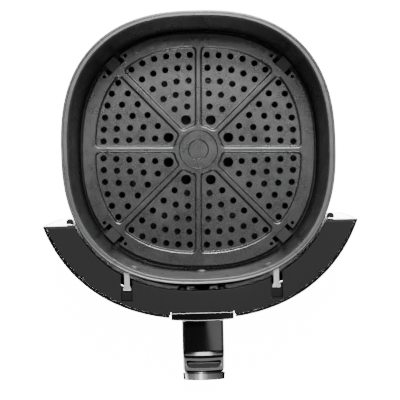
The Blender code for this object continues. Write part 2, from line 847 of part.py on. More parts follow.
def build_side_guide(name, side, material):
    """Small rounded lug at the end of the front, beside the rim."""
    top = pan_height - mm
    width, reach = guide_width, guide_reach
    face = front_end_y(top - guide_height) + gap
    near = round_half_width(face + reach, rim_half_x, rim_half_y, round_power) + guide_play
    outline = [(near, face)]
    for step in range(7):
        angle = pi * step / 6
        outline.append((near + width / 2 * (1 - cos(angle)), face + reach - width / 2
                        + width / 2 * sin(angle)))
    outline.append((near + width, face))
    bm = bmesh.new()
    add_prism(bm, [(side * x, y) for x, y in outline], top - guide_height, top)
    add_object(name, bm, material, smooth=True)


def build_catch(name, side, material):
    """Block under the cover's pocket: the hook's lip drops into its slot."""
    half = pocket_width / 2.0 + 0.6 * mm
    top = pan_height - rim_depth - hook_thick - 3 * gap
    near = hook_end_y + 1.4 * mm
    slot_near, slot_far = hook_end_y + gap, hook_end_y - hook_thick - gap
    low, slot_half = top - catch_depth, hook_end_width / 2.0 + gap
    far = catch_play - shell_inside_depth(hook_x + half, low)
    bm = bmesh.new()
    add_box(bm, (side * hook_x - half, far, low), (side * hook_x + half, near, top))
    catch = add_object(name, bm, material)
    slot = bmesh.new()
    add_box(slot, (side * hook_x - slot_half, slot_far, low - mm),
            (side * hook_x + slot_half, slot_near, top + mm))
    combine(catch, add_helper("cut_slot_" + name, slot))


# ---------------------------------------------------------------- handle
def handle_line(before=0.0, short=0.0):
    """Middle line of the handle in the YZ plane, from the root to the foot of the grip."""
    middle = arm_top - handle_thick / 2.0
    knee, foot = Vector((knee_y, knee_z)), Vector((grip_foot_y, grip_foot_z))
    foot = foot - (foot - knee).normalized() * short
    return [Vector((root_face_y() - gap + before, middle)), Vector((bend_y, middle)), knee, foot]


def root_face_y():
    return -shell_half_y - root_proud


def handle_band(from_offset, to_offset, bend_radii, before=0.0, short=0.0):
    """Closed YZ outline between two offsets of the middle line; negative is outwards."""
    outer_radii, inner_radii = bend_radii
    line = handle_line(before, short)
    outer = filleted(offset_line(line, from_offset), outer_radii)
    inner = filleted(offset_line(line, to_offset), inner_radii)
    return outer + inner[::-1]


def core_groove():
    bm = bmesh.new()
    half = core_thick / 2.0 + gap
    add_slab(bm, handle_band(-half, half, core_bends, mm, core_short - gap),
             core_width / 2.0 + gap)
    return bm


def add_handle_shell(name, from_offset, to_offset, radii, material):
    bm = bmesh.new()
    add_slab(bm, handle_band(from_offset, to_offset, radii), arm_width / 2.0)
    shell = add_object(name, bm, material, smooth=True)
    combine(shell, add_helper("cut_core_" + name, core_groove()))
    combine(shell, add_helper("cut_screws_" + name, grip_screw_bores(gap)))
    return shell


def grip_frame():
    """A point on the grip's middle line for each grip screw, and the outward direction."""
    line = [Vector(point) for point in handle_line()]
    run = line[3] - line[2]
    outward = Vector((run.y, -run.x)).normalized()
    if outward.x > 0.0:
        outward.negate()
    return [line[2] + run * share for share in grip_screw_shares], outward


def grip_screw_bores(clearance):
    bm = bmesh.new()
    places, outward = grip_frame()
    for place in places:
        start = place - outward * (handle_thick / 2.0 + mm)
        end = place + outward * 4.6 * mm
        add_drum(bm, (0.0, start.x, start.y), (0.0, end.x, end.y),
                 ((0.0, screw_head + clearance), (0.2, screw_head + clearance),
                  (0.2, screw_radius + clearance), (1.0, screw_radius + clearance)), 12)
    return bm


def build_grip_screws(material):
    places, outward = grip_frame()
    for index, place in enumerate(places):
        start = place - outward * (handle_thick / 2.0 - 0.4 * mm)
        end = place + outward * 4.0 * mm
        length = (end - start).length
        head = 0.9 * mm / length
        bm = bmesh.new()
        add_drum(bm, (0.0, start.x, start.y), (0.0, end.x, end.y),
                 ((0.0, screw_head), (head, screw_head),
                  (head, screw_radius), (1.0, screw_radius)), 12)
        add_object(f"grip_screw_{index + 1}", bm, material, smooth=True)


def build_handle(gloss, matte, steel, chrome):
    half = handle_thick / 2.0
    outer_bends = ((9 * mm, 7 * mm), core_bends[1])
    inner_bends = (core_bends[0], (3 * mm, 4 * mm))
    add_handle_shell("handle_outer_shell", -half, -gap / 2.0, outer_bends, gloss)
    add_handle_shell("handle_inner_shell", gap / 2.0, half, inner_bends, matte)
    core = bmesh.new()
    add_slab(core, handle_band(-core_thick / 2.0, core_thick / 2.0, core_bends, 0.0, core_short),
             core_width / 2.0)
    strap = add_object("handle_core", core, steel, smooth=True)
    combine(strap, add_helper("cut_screws_core", grip_screw_bores(gap)))
    line = offset_line(handle_line(), -half)
    run = (line[3] - line[2]).normalized()
    out = Vector((run.y, -run.x))
    if out.x > 0.0:
        out.negate()
    top, foot = line[2] + run * trim_start, line[3]
    face = [top + out * gap, foot + out * gap, foot + out * (gap + trim_thick) - run * end_bevel,
            top + out * (gap + trim_thick) + run * end_bevel]
    trim = bmesh.new()
    add_slab(trim, [(point.x, point.y) for point in face], arm_width / 2.0 + trim_proud)
    add_object("handle_trim", trim, chrome)
    slope = line[2] - line[1]
    along = slope.normalized()
    up = Vector((along.y, -along.x))
    if up.y < 0.0:
        up.negate()
    start, end = [line[1] + slope * share for share in pad_shares]
    edge, crest = gap + pad_rise * 0.6, gap + pad_rise
    pad = [start + up * gap, end + up * gap, end + up * edge,
           end - along * end_bevel + up * crest,
           start + along * end_bevel + up * crest, start + up * edge]
    bm = bmesh.new()
    add_slab(bm, [(point.x, point.y) for point in pad], arm_width / 2.0 - pad_inset)
    add_object("thumb_pad", bm, matte)


def build_root(material):
    outline = [(-root_half, root_inner_y), (root_half, root_inner_y)]
    steps = 6
    for step in range(steps + 1):
        x = root_half - 2.0 * root_half * step / steps
        depth = shell_half_y * (1.0 - (abs(x) / shell_half_x) ** shell_power) ** (1.0 / shell_power)
        outline.append((x, -depth - root_proud))
    bm = bmesh.new()
    add_prism(bm, outline, root_bottom, front_top)
    root = add_object("handle_root", bm, material)
    combine(root, add_helper("cut_root_screws", screw_bores()))


def build_mount(material):
    far = root_inner_y + gap
    near = far + mount_depth
    low, high = root_bottom + 4 * mm, arm_top + 2 * mm
    bm = bmesh.new()
    add_box(bm, (-mount_half, far, low), (mount_half, near, high))
    mount = add_object("handle_mount", bm, material)
    combine(mount, add_helper("cut_mount_screws", screw_bores()))


def build_handle_screws(material):
    for index, (x, z) in enumerate(screw_places()):
        seat = liner_face_y(x)
        start_y = seat + gap + screw_head_thick
        end_y = screw_tip_y()
        head = screw_head_thick / (start_y - end_y)
        bm = bmesh.new()
        add_drum(bm, (x, start_y, z), (x, end_y, z),
                 ((0.0, screw_head * 0.8), (head * 0.5, screw_head), (head, screw_head),
                  (head, screw_radius), (1.0, screw_radius)), 12)
        add_object(f"handle_screw_{index + 1}", bm, material, smooth=True)


def liner_face_y(x):
    """Nearest y of the liner's inner face behind a screw head centred at x."""
    half_x, half_y = liner_halves(0.0)
    far_x = abs(x) + screw_head
    return -half_y * (1.0 - (far_x / half_x) ** cover_power) ** (1.0 / cover_power)


def main():
    clear_scene()
    coated = make_material("coated_steel", (0.075, 0.075, 0.078), 0.45, 0.3)
    plate_coat = make_material("plate_coating", (0.12, 0.12, 0.125), 0.5, 0.3)
    silicone = make_material("silicone", (0.05, 0.05, 0.05), 0.6)
    matte = make_material("matte_plastic", (0.03, 0.03, 0.03), 0.6)
    gloss = make_material("gloss_plastic", (0.012, 0.012, 0.013), 0.12)
    steel = make_material("zinc_steel", (0.6, 0.6, 0.6), 0.35, 1.0)
    chrome = make_material("chrome", (0.8, 0.8, 0.8), 0.08, 1.0)

    axis = bpy.data.objects.new("plate_axis", None)
    axis.rotation_euler.z = plate_turn
    bpy.context.collection.objects.link(axis)

    build_pan(coated)
    build_rivets(steel)
    build_plate(plate_coat, axis)
    build_bumpers(silicone, axis)
    for word, side in (("left", -1.0), ("right", 1.0)):
        build_hook("hook_bar_" + word, side, steel)
        build_end_cap("end_cap_" + word, side, gloss)
        build_side_guide("side_guide_" + word, side, matte)
        build_catch("catch_block_" + word, side, matte)
    build_lower_tab(steel)
    build_shell(gloss)
    build_liner(matte)
    build_cover(matte)
    build_bottom(matte)
    build_cover_screws(steel)
    build_root(gloss)
    build_mount(matte)
    build_handle(gloss, matte, steel, chrome)
    build_handle_screws(steel)
    build_grip_screws(steel)


main()
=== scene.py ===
import json
from math import asin, atan2, cos, pi, radians, sin, tan

import bmesh
import bpy
from mathutils import Matrix, Vector

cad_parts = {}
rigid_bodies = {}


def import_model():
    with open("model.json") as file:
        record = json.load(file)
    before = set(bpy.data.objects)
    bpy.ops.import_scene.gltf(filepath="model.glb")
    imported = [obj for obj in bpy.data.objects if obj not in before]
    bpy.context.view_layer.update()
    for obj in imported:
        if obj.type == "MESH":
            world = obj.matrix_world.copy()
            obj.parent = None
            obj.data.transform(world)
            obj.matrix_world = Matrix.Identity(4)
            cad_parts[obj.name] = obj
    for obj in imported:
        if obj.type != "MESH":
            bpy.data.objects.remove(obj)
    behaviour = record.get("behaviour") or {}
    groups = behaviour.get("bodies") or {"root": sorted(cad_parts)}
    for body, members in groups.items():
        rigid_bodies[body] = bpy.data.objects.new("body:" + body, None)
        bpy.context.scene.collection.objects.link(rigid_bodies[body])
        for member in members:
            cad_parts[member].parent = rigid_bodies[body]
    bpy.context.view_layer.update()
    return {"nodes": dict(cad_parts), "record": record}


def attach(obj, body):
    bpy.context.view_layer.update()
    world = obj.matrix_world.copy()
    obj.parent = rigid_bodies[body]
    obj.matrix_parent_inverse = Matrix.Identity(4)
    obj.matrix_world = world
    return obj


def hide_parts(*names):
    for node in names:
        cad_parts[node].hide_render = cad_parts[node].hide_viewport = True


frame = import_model()
mm = 0.001


# mesh making
def superRadius(angle, halfX, halfY, power):
    along = (abs(cos(angle)) / halfX) ** power + (abs(sin(angle)) / halfY) ** power
    return along ** (-1.0 / power)


def superRing(halfX, halfY, power, z, steps):
    ring = []
    for step in range(steps):
        angle = 2.0 * pi * step / steps
        radius = superRadius(angle, halfX, halfY, power)
        ring.append(Vector((radius * cos(angle), radius * sin(angle), z)))
    return ring


def filletPath(points, radii, steps=6):   # polyline with round corners, in any plane
    path = [Vector(points[0])]
    for before, corner, after, radius in zip(points, points[1:], points[2:], radii):
        corner = Vector(corner)
        if radius <= 0.0:
            path.append(corner)
            continue
        back = (Vector(before) - corner).normalized()
        ahead = (Vector(after) - corner).normalized()
        half = back.angle(ahead) / 2.0
        centre = corner + (back + ahead).normalized() * radius / sin(half)
        first = (corner + back * radius / tan(half) - centre).normalized()
        last = (corner + ahead * radius / tan(half) - centre).normalized()
        for step in range(steps + 1):
            path.append(centre + first.slerp(last, step / steps) * radius)
    path.append(Vector(points[-1]))
    return path


def skinRings(bm, rings, closed=False):
    rows = [[bm.verts.new(point) for point in ring] for ring in rings]
    pairs = list(zip(rows, rows[1:]))
    if closed:
        pairs.append((rows[-1], rows[0]))
    for low, high in pairs:
        for index in range(len(low)):
            after = (index + 1) % len(low)
            bm.faces.new((low[index], low[after], high[after], high[index]))
    if not closed:
        bm.faces.new(rows[0])
        bm.faces.new(rows[-1])


def meshPiece(name, bm, material=None, sharp=40.0):
    bmesh.ops.recalc_face_normals(bm, faces=bm.faces)
    mesh = bpy.data.meshes.new(name)
    bm.to_mesh(mesh)
    bm.free()
    piece = bpy.data.objects.new(name, mesh)
    bpy.context.scene.collection.objects.link(piece)
    if material:
        mesh.materials.append(material)
    mesh.shade_smooth()
    mesh.set_sharp_from_angle(angle=radians(sharp))
    return piece


def bake(piece, sharp=40.0):   # modifiers into the mesh
    graph = bpy.context.evaluated_depsgraph_get()
    mesh = bpy.data.meshes.new_from_object(piece.evaluated_get(graph))
    piece.modifiers.clear()
    old = piece.data
    piece.data = mesh
    bpy.data.meshes.remove(old)
    mesh.shade_smooth()
    mesh.set_sharp_from_angle(angle=radians(sharp))
    return piece


def cutAway(piece, cutters, operation='DIFFERENCE', solver='EXACT'):
    for cutter in cutters:
        modifier = piece.modifiers.new("cut", 'BOOLEAN')
        modifier.operation = operation
        modifier.solver = solver
        modifier.object = cutter
    bake(piece)
    for cutter in cutters:
        bpy.data.objects.remove(cutter)


def mergeFlat(mesh):   # pieces of one flat face become one, so it shades flat
    bm = bmesh.new()
    bm.from_mesh(mesh)
    bmesh.ops.dissolve_limit(bm, angle_limit=radians(0.1), verts=bm.verts, edges=bm.edges,
                             delimit={'MATERIAL', 'SHARP'})
    bm.to_mesh(mesh)
    bm.free()


def soften(piece, width, segments=2, angle=35.0):
    mergeFlat(piece.data)
    bevel = piece.modifiers.new("edges", 'BEVEL')
    bevel.width = width
    bevel.segments = segments
    bevel.limit_method = 'ANGLE'
    bevel.angle_limit = radians(angle)
    bevel.harden_normals = False
    bevel.use_clamp_overlap = True
    return bake(piece)


def boxPiece(name, low, high, turn=0.0):
    bm = bmesh.new()
    spin = Matrix.Rotation(turn, 3, 'Z')
    corners = ((low[0], low[1]), (high[0], low[1]), (high[0], high[1]), (low[0], high[1]))
    skinRings(bm, [[spin @ Vector((x, y, z)) for x, y in corners] for z in (low[2], high[2])])
    return meshPiece(name, bm)


def turned(name, start, end, stations, sides=48, material=None):
    # solid of revolution from start towards end; stations are (distance, radius)
    axis = (Vector(end) - Vector(start)).normalized()
    turn = axis.to_track_quat('Z', 'Y')
    rings = []
    for along, radius in stations:
        ring = []
        for side in range(sides):
            angle = 2.0 * pi * side / sides
            ring.append(Vector(start) + axis * along
                        + turn @ Vector((radius * cos(angle), radius * sin(angle), 0.0)))
        rings.append(ring)
    bm = bmesh.new()
    skinRings(bm, rings)
    return meshPiece(name, bm, material)


def place(piece, body, slot, *nodes):
    mergeFlat(piece.data)
    weighted = piece.modifiers.new("normals", 'WEIGHTED_NORMAL')   # flat faces shade flat
    weighted.keep_sharp = True
    weighted.weight = 70
    graph = bpy.context.evaluated_depsgraph_get()
    piece.data = bpy.data.meshes.new_from_object(piece.evaluated_get(graph))
    piece.modifiers.clear()
    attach(piece, body)
    if nodes:
        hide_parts(*nodes)
    return piece


# geometry nodes
class NodeTree:
    def __init__(self, name, inputs):
        self.tree = bpy.data.node_groups.new(name, 'GeometryNodeTree')
        face = self.tree.interface
        face.new_socket(name="Geometry", in_out='INPUT', socket_type='NodeSocketGeometry')
        face.new_socket(name="Geometry", in_out='OUTPUT', socket_type='NodeSocketGeometry')
        self.ids = {}
        for label, kind in inputs:
            socket = face.new_socket(name=label, in_out='INPUT', socket_type='NodeSocket' + kind)
            self.ids[label] = socket.identifier
        self.start = self.add('NodeGroupInput')
        self.end = self.add('NodeGroupOutput')

    def add(self, kind, **settings):
        node = self.tree.nodes.new(kind)
        for key, value in settings.items():
            setattr(node, key, value)
        return node

    def link(self, *pairs):   # (node, output name, node, input name)
        for source, leaves, target, enters in pairs:
            self.tree.links.new(source.outputs[leaves], target.inputs[enters])

    def apply(self, piece, values):
        modifier = piece.modifiers.new(self.tree.name, 'NODES')
        modifier.node_group = self.tree
        for label, value in values.items():
            modifier[self.ids[label]] = value
        return bake(piece)


def stampTree():
    # instances of a cutter on points, turned and scaled by attributes, cut out of a blank
    net = NodeTree("stampPattern", [("Blank", 'Object'), ("Cutter", 'Object'),
                                    ("Material", 'Material')])
    blank = net.add('GeometryNodeObjectInfo')
    cutter = net.add('GeometryNodeObjectInfo')
    onPoints = net.add('GeometryNodeInstanceOnPoints')
    turn = net.add('GeometryNodeInputNamedAttribute', data_type='FLOAT_VECTOR')
    turn.inputs["Name"].default_value = "turn"
    size = net.add('GeometryNodeInputNamedAttribute', data_type='FLOAT_VECTOR')
    size.inputs["Name"].default_value = "size"
    real = net.add('GeometryNodeRealizeInstances')
    cut = net.add('GeometryNodeMeshBoolean', operation='DIFFERENCE', solver='EXACT')
    finish = net.add('GeometryNodeSetMaterial')
    lastReal = net.add('GeometryNodeRealizeInstances')
    net.link((net.start, "Blank", blank, "Object"), (net.start, "Cutter", cutter, "Object"),
             (net.start, "Geometry", onPoints, "Points"), (cutter, "Geometry", onPoints, "Instance"),
             (turn, "Attribute", onPoints, "Rotation"), (size, "Attribute", onPoints, "Scale"),
             (onPoints, "Instances", real, "Geometry"), (blank, "Geometry", cut, "Mesh 1"),
             (real, "Geometry", cut, "Mesh 2"), (cut, "Mesh", lastReal, "Geometry"),
             (lastReal, "Geometry", finish, "Geometry"), (net.start, "Material", finish, "Material"),
             (finish, "Geometry", net.end, "Geometry"))
    return net


def scatterTree():
    # instances of one small part on points, turned by an attribute
    net = NodeTree("scatterParts", [("Part", 'Object'), ("Material", 'Material')])
    part = net.add('GeometryNodeObjectInfo')
    onPoints = net.add('GeometryNodeInstanceOnPoints')
    turn = net.add('GeometryNodeInputNamedAttribute', data_type='FLOAT_VECTOR')
    turn.inputs["Name"].default_value = "turn"
    real = net.add('GeometryNodeRealizeInstances')
    finish = net.add('GeometryNodeSetMaterial')
    net.link((net.start, "Part", part, "Object"), (net.start, "Geometry", onPoints, "Points"),
             (part, "Geometry", onPoints, "Instance"), (turn, "Attribute", onPoints, "Rotation"),
             (onPoints, "Instances", real, "Geometry"), (real, "Geometry", finish, "Geometry"),
             (net.start, "Material", finish, "Material"), (finish, "Geometry", net.end, "Geometry"))
    return net


def pointCloud(name, places, turns, sizes=None):
    mesh = bpy.data.meshes.new(name)
    mesh.from_pydata([tuple(point) for point in places], [], [])
    attribute = mesh.attributes.new("turn", 'FLOAT_VECTOR', 'POINT')
    for index, turn in enumerate(turns):
        attribute.data[index].vector = turn
    if sizes:
        attribute = mesh.attributes.new("size", 'FLOAT_VECTOR', 'POINT')
        for index, size in enumerate(sizes):
            attribute.data[index].vector = size
    piece = bpy.data.objects.new(name, mesh)
    bpy.context.scene.collection.objects.link(piece)
    return piece


# materials
def finishMaterial(name, look):
    material = bpy.data.materials.new(name)
    material.use_nodes = True
    nodes, links = material.node_tree.nodes, material.node_tree.links
    shader = nodes["Principled BSDF"]
    shader.inputs["Metallic"].default_value = look.get("metallic", 0.0)
    shader.inputs["Specular IOR Level"].default_value = look.get("specular", 0.5)
    where = nodes.new('ShaderNodeTexCoord')
    mapping = nodes.new('ShaderNodeMapping')
    mapping.inputs["Scale"].default_value = look.get("stretch", (1.0, 1.0, 1.0))
    links.new(where.outputs["Object"], mapping.inputs["Vector"])

    def noise(scale, detail):
        texture = nodes.new('ShaderNodeTexNoise')
        texture.inputs["Scale"].default_value = scale
        texture.inputs["Detail"].default_value = detail
        links.new(mapping.outputs["Vector"], texture.inputs["Vector"])
        return texture.outputs["Fac"]

    def spread(source, low, high, fromLow=0.3, fromHigh=0.7):
        remap = nodes.new('ShaderNodeMapRange')
        remap.inputs["From Min"].default_value = fromLow
        remap.inputs["From Max"].default_value = fromHigh
        remap.inputs["To Min"].default_value = low
        remap.inputs["To Max"].default_value = high
        links.new(source, remap.inputs["Value"])
        return remap.outputs["Result"]

    def blendColour(factor, first, second):
        mix = nodes.new('ShaderNodeMix')
        mix.data_type = 'RGBA'
        links.new(factor, mix.inputs["Factor"])
        for socket, value in ((mix.inputs[6], first), (mix.inputs[7], second)):
            if isinstance(value, tuple):
                socket.default_value = (*value, 1.0)
            else:
                links.new(value, socket)
        return mix.outputs[2]

    mixSockets = blendColour(spread(noise(look["cloudScale"], 3.0), 0.0, 1.0),
                             look["colour"], look["colourTwo"])
    if "speck" in look:   # fine light grains in the coating
        grains = spread(noise(look["speckScale"], 2.0), 0.0, 1.0, 0.56, 0.70)
        mixSockets = blendColour(grains, mixSockets, look["speck"])
    # painted shade: each level darkens the colour lower down, standing in for the shade on the pan's
    # wall and floor
    for low, high, under in look.get("levels", ()):   # darker lower down
        apart = nodes.new('ShaderNodeSeparateXYZ')
        links.new(where.outputs["Object"], apart.inputs["Vector"])
        mixSockets = blendColour(spread(apart.outputs["Z"], 0.0, 1.0, low, high), under, mixSockets)
    # painted reflection: the light and dark bands stand in for the chrome's reflections
    if "reflectionBands" in look:   # painted light and dark bands, which also say how metallic it is
        apart = nodes.new('ShaderNodeSeparateXYZ')
        links.new(where.outputs["Object"], apart.inputs["Vector"])
        ramp = nodes.new('ShaderNodeValToRGB')
        stops = ramp.color_ramp.elements
        for index, (at, level) in enumerate(look["reflectionBands"]):
            stop = stops[index] if index < 2 else stops.new(at)
            stop.position = at
            stop.color = (level, level, level, 1.0)
        half = look["bandHalf"]
        links.new(spread(apart.outputs["X"], 0.0, 1.0, -half, half), ramp.inputs["Fac"])
        mixSockets = ramp.outputs["Color"]
        links.new(mixSockets, shader.inputs["Specular Tint"])
        links.new(mixSockets, shader.inputs["Metallic"])
    links.new(mixSockets, shader.inputs["Base Color"])
    low, high = look["rough"]
    links.new(spread(noise(look["roughScale"], 4.0), low, high), shader.inputs["Roughness"])
    bump = nodes.new('ShaderNodeBump')
    bump.inputs["Strength"].default_value = look["grain"]
    bump.inputs["Distance"].default_value = look["grainDepth"]
    links.new(noise(look["grainScale"], look.get("grainDetail", 3.0)), bump.inputs["Height"])
    links.new(bump.outputs["Normal"], shader.inputs["Normal"])
    return material


# the pan's levels are painted shade: its wall darker than the rim, and the floor under the plate darker
# still
panLook = {"colour": (0.11, 0.11, 0.112), "colourTwo": (0.13, 0.13, 0.132), "cloudScale": 18.0,
           "speck": (0.17, 0.17, 0.17), "speckScale": 2600.0,
           "rough": (0.26, 0.34), "roughScale": 60.0, "metallic": 0.7,
           "levels": ((0.094, 0.1, (0.03, 0.03, 0.03)), (0.018, 0.034, (0.01, 0.01, 0.01))),
           "grain": 0.35, "grainDepth": 0.00012, "grainScale": 1500.0}
plateLook = {"colour": (0.05, 0.05, 0.051), "colourTwo": (0.065, 0.065, 0.066), "cloudScale": 26.0,
             "speck": (0.16, 0.16, 0.16), "speckScale": 2200.0,
             "rough": (0.25, 0.33), "roughScale": 90.0, "metallic": 0.8,
             "grain": 0.55, "grainDepth": 0.00018, "grainScale": 1300.0}
siliconeLook = {"colour": (0.013, 0.013, 0.0132), "colourTwo": (0.019, 0.019, 0.019), "specular": 0.3,
                "cloudScale": 40.0, "rough": (0.5, 0.62), "roughScale": 200.0,
                "grain": 0.15, "grainDepth": 0.00008, "grainScale": 900.0}
coverLook = {"colour": (0.0035, 0.0035, 0.0037), "colourTwo": (0.005, 0.005, 0.0052),
             "cloudScale": 12.0, "rough": (0.5, 0.6), "roughScale": 120.0, "specular": 0.17,
             "grain": 0.3, "grainDepth": 0.00006, "grainScale": 2400.0}
glossLook = {"colour": (0.0015, 0.0015, 0.0016), "colourTwo": (0.0022, 0.0022, 0.0023),
             "cloudScale": 8.0, "rough": (0.07, 0.12), "roughScale": 30.0, "specular": 0.7,
             "grain": 0.04, "grainDepth": 0.00005, "grainScale": 60.0, "grainDetail": 1.0}
zincLook = {"colour": (0.58, 0.58, 0.57), "colourTwo": (0.68, 0.68, 0.67), "cloudScale": 120.0,
            "rough": (0.28, 0.42), "roughScale": 300.0, "metallic": 1.0, "grain": 0.2,
            "grainDepth": 0.00004, "grainScale": 1800.0, "stretch": (1.0, 0.08, 1.0)}
# painted shade: near-black steel for zinc steel parts that sit in shade deep in the gap behind the
# front
paintedShadeSteelLook = {"colour": (0.004, 0.004, 0.004), "colourTwo": (0.006, 0.006, 0.006),
                  "cloudScale": 120.0, "rough": (0.4, 0.5), "roughScale": 300.0, "specular": 0.1,
                  "grain": 0.2, "grainDepth": 0.00004, "grainScale": 1800.0}
padLook = {"colour": (0.002, 0.002, 0.002), "colourTwo": (0.003, 0.003, 0.003), "cloudScale": 30.0,
           "rough": (0.18, 0.24), "roughScale": 90.0, "specular": 0.12,
           "grain": 0.1, "grainDepth": 0.00004, "grainScale": 1500.0}
# the trim's bands are painted reflection, light and dark across its width
chromeLook = {"colour": (0.78, 0.78, 0.79), "colourTwo": (0.84, 0.84, 0.85), "cloudScale": 20.0,
              "bandHalf": 19.4 * mm,
              "reflectionBands": ((0.0, 0.0), (1.0, 0.0), (0.04, 0.0), (0.06, 0.35), (0.1, 0.12), (0.13, 0.03),
                        (0.25, 0.04), (0.36, 0.1), (0.42, 0.35), (0.48, 0.12), (0.6, 0.035),
                        (0.8, 0.02), (0.93, 0.012), (0.96, 0.0)),
              "rough": (0.05, 0.1), "roughScale": 80.0, "metallic": 1.0, "specular": 0.0, "grain": 0.0,
              "grainDepth": 0.00003, "grainScale": 200.0}

shellLook = dict(glossLook, specular=0.1, rough=(0.16, 0.22))

coatedSteel = finishMaterial("coatedSteel", panLook)
plateCoating = finishMaterial("plateCoating", plateLook)
siliconeRubber = finishMaterial("siliconeRubber", siliconeLook)
mattePlastic = finishMaterial("mattePlastic", coverLook)
glossPlastic = finishMaterial("glossPlastic", glossLook)
zincSteel = finishMaterial("zincSteel", zincLook)
brightChrome = finishMaterial("brightChrome", chromeLook)
paintedShadeSteel = finishMaterial("paintedShadeSteel", paintedShadeSteelLook)
padPlastic = finishMaterial("padPlastic", padLook)
shellPlastic = finishMaterial("shellPlastic", shellLook)
slotMaterials = {"coated_steel": coatedSteel, "plate_coating": plateCoating,
                 "silicone": siliconeRubber, "matte_plastic": mattePlastic,
                 "gloss_plastic": glossPlastic, "zinc_steel": zincSteel, "chrome": brightChrome}
for entry in frame["record"]["subparts"]:
    node = frame["nodes"][entry["node"]]
    node.data.materials.clear()
    node.data.materials.append(slotMaterials[entry["material_slot"]])
print("materials made")


# pan
pan = {"mouthX": 117.9 * mm, "mouthY": 118.8 * mm, "power": 2.47, "wall": 1.4 * mm,
       "top": 104.0 * mm, "flange": 103.2 * mm, "flangeThick": 1.3 * mm, "lean": 0.070,
       "ledge": 24.7 * mm, "ledgeWidth": 4.7 * mm, "footBend": 7.0 * mm,
       "beadX": 122.65 * mm, "beadY": 122.15 * mm, "bead": 1.35 * mm,
       "embossIn": 66.0 * mm, "embossOut": 90.0 * mm, "embossRise": 1.0 * mm,
       "embossSlope": 2.0 * mm, "floorEnd": 18.0 * mm, "steps": 240}


def panHalves(z):   # inside of the wall above the ledge
    lean = pan["lean"] * (pan["top"] - z)
    return pan["mouthX"] - lean, pan["mouthY"] - lean


def wallPoint(x, z, offset):   # point of the front wall and its outward normal
    def at(px, pz):
        halfX, halfY = panHalves(pz)
        halfX, halfY = halfX + offset, halfY + offset
        reach = 1.0 - (abs(px) / halfX) ** pan["power"]
        return Vector((px, -halfY * reach ** (1.0 / pan["power"]), pz))

    along = at(x + 0.5 * mm, z) - at(x - 0.5 * mm, z)
    up = at(x, z + 0.5 * mm) - at(x, z - 0.5 * mm)
    normal = along.cross(up).normalized()
    if normal.y > 0.0:
        normal.negate()
    return at(x, z), normal


def makePan():
    s = pan
    wall, tub = s["wall"], panHalves(s["ledge"])[0] - s["ledgeWidth"]
    ledgeX, ledgeY = panHalves(s["ledge"])
    neckX, neckY = panHalves(s["flange"])
    slope, rise = s["embossSlope"], s["embossRise"]

    def floorLine(z):   # the pressed ring in the floor
        steps = ((s["embossIn"], z), (s["embossIn"] + slope, z + rise),
                 (s["embossOut"] - slope, z + rise), (s["embossOut"], z))
        return [((half, half, level), mm) for half, level in steps]

    inside = floorLine(wall) + [((tub, tub, wall), s["footBend"]), ((tub, tub, s["ledge"]), 1.2 * mm),
                                ((ledgeX, ledgeY, s["ledge"]), 1.2 * mm),
                                ((neckX, neckY, s["flange"]), 1.6 * mm)]
    beadTurn = radians(155)
    flangeEnd = (s["beadX"] + s["bead"] * cos(beadTurn), s["beadY"] + s["bead"] * cos(beadTurn),
                 s["flange"])
    inner = filletPath([(s["floorEnd"],) * 2 + (wall,)] + [place for place, _ in inside]
                       + [flangeEnd], [radius for _, radius in inside])
    bead = []
    for step in range(15):
        angle = beadTurn - radians(245) * step / 14
        bead.append(Vector((s["beadX"] + s["bead"] * cos(angle), s["beadY"] + s["bead"] * cos(angle),
                            s["top"] - s["bead"] + s["bead"] * sin(angle))))
    under = s["flange"] - s["flangeThick"]
    outside = [((neckX + wall, neckY + wall, under), 1.5 * mm),
               ((ledgeX + wall, ledgeY + wall, s["ledge"] - wall), 1.5 * mm),
               ((tub + wall, tub + wall, s["ledge"] - wall), 1.0 * mm),
               ((tub + wall, tub + wall, 0.0), s["footBend"] + wall)] + floorLine(0.0)[::-1]
    hem = Vector((s["beadX"] - 1.3 * mm, s["beadY"] - 1.3 * mm, under))
    outer = filletPath([hem] + [place for place, _ in outside] + [(s["floorEnd"],) * 2 + (0.0,)],
                       [radius for _, radius in outside])
    bm = bmesh.new()
    skinRings(bm, [superRing(x, y, s["power"], z, s["steps"]) for x, y, z in inner + bead + outer])
    piece = meshPiece("panShell", bm, coatedSteel, sharp=30.0)
    drills = []
    for x, z in rivetPlaces():
        point, normal = wallPoint(x, z, 0.0)
        drills.append(turned("drill", point - normal * 5 * mm, point + normal,
                             ((0.0, 2.25 * mm), (12 * mm, 2.25 * mm)), 32))
    cutAway(piece, drills)
    return place(piece, "drawer", "coated_steel", "pan")


rivet = {"upperX": 60.0 * mm, "upperDrop": 15.0 * mm, "lowerDrop": 60.0 * mm, "shank": 2.0 * mm,
         "head": 4.0 * mm, "headThick": 1.2 * mm, "seat": 0.15 * mm, "grip": 4.0 * mm}


def rivetPlaces():
    high, low = pan["top"] - rivet["upperDrop"], pan["top"] - rivet["lowerDrop"]
    return ((-rivet["upperX"], high), (rivet["upperX"], high), (0.0, low))


def makeRivets():
    s = rivet
    dome = [(0.0, 0.6 * mm), (0.25 * mm, 2.2 * mm), (0.6 * mm, 3.3 * mm), (0.95 * mm, 3.85 * mm),
            (s["headThick"], s["head"])]
    far = s["headThick"] + s["seat"] + s["grip"]
    body = dome + [(s["headThick"] + 0.01 * mm, s["shank"]), (far, s["shank"]), (far, s["head"] * 0.9),
                   (far + 0.8 * mm, s["head"] * 0.8), (far + s["headThick"], s["head"] * 0.4)]
    part = turned("rivetPart", (0, 0, 0), (0, 0, 1), body, 32)
    places, turns = [], []
    for x, z in rivetPlaces():
        point, normal = wallPoint(x, z, 0.0)
        places.append(point - normal * (s["headThick"] + s["seat"]))
        turns.append(normal.to_track_quat('Z', 'Y').to_euler())
    piece = scatter.apply(pointCloud("panRivets", places, turns), {"Part": part, "Material": zincSteel})
    bpy.data.objects.remove(part)
    return place(piece, "drawer", "zinc_steel", "rivet_upper_left", "rivet_upper_right", "rivet_lower")


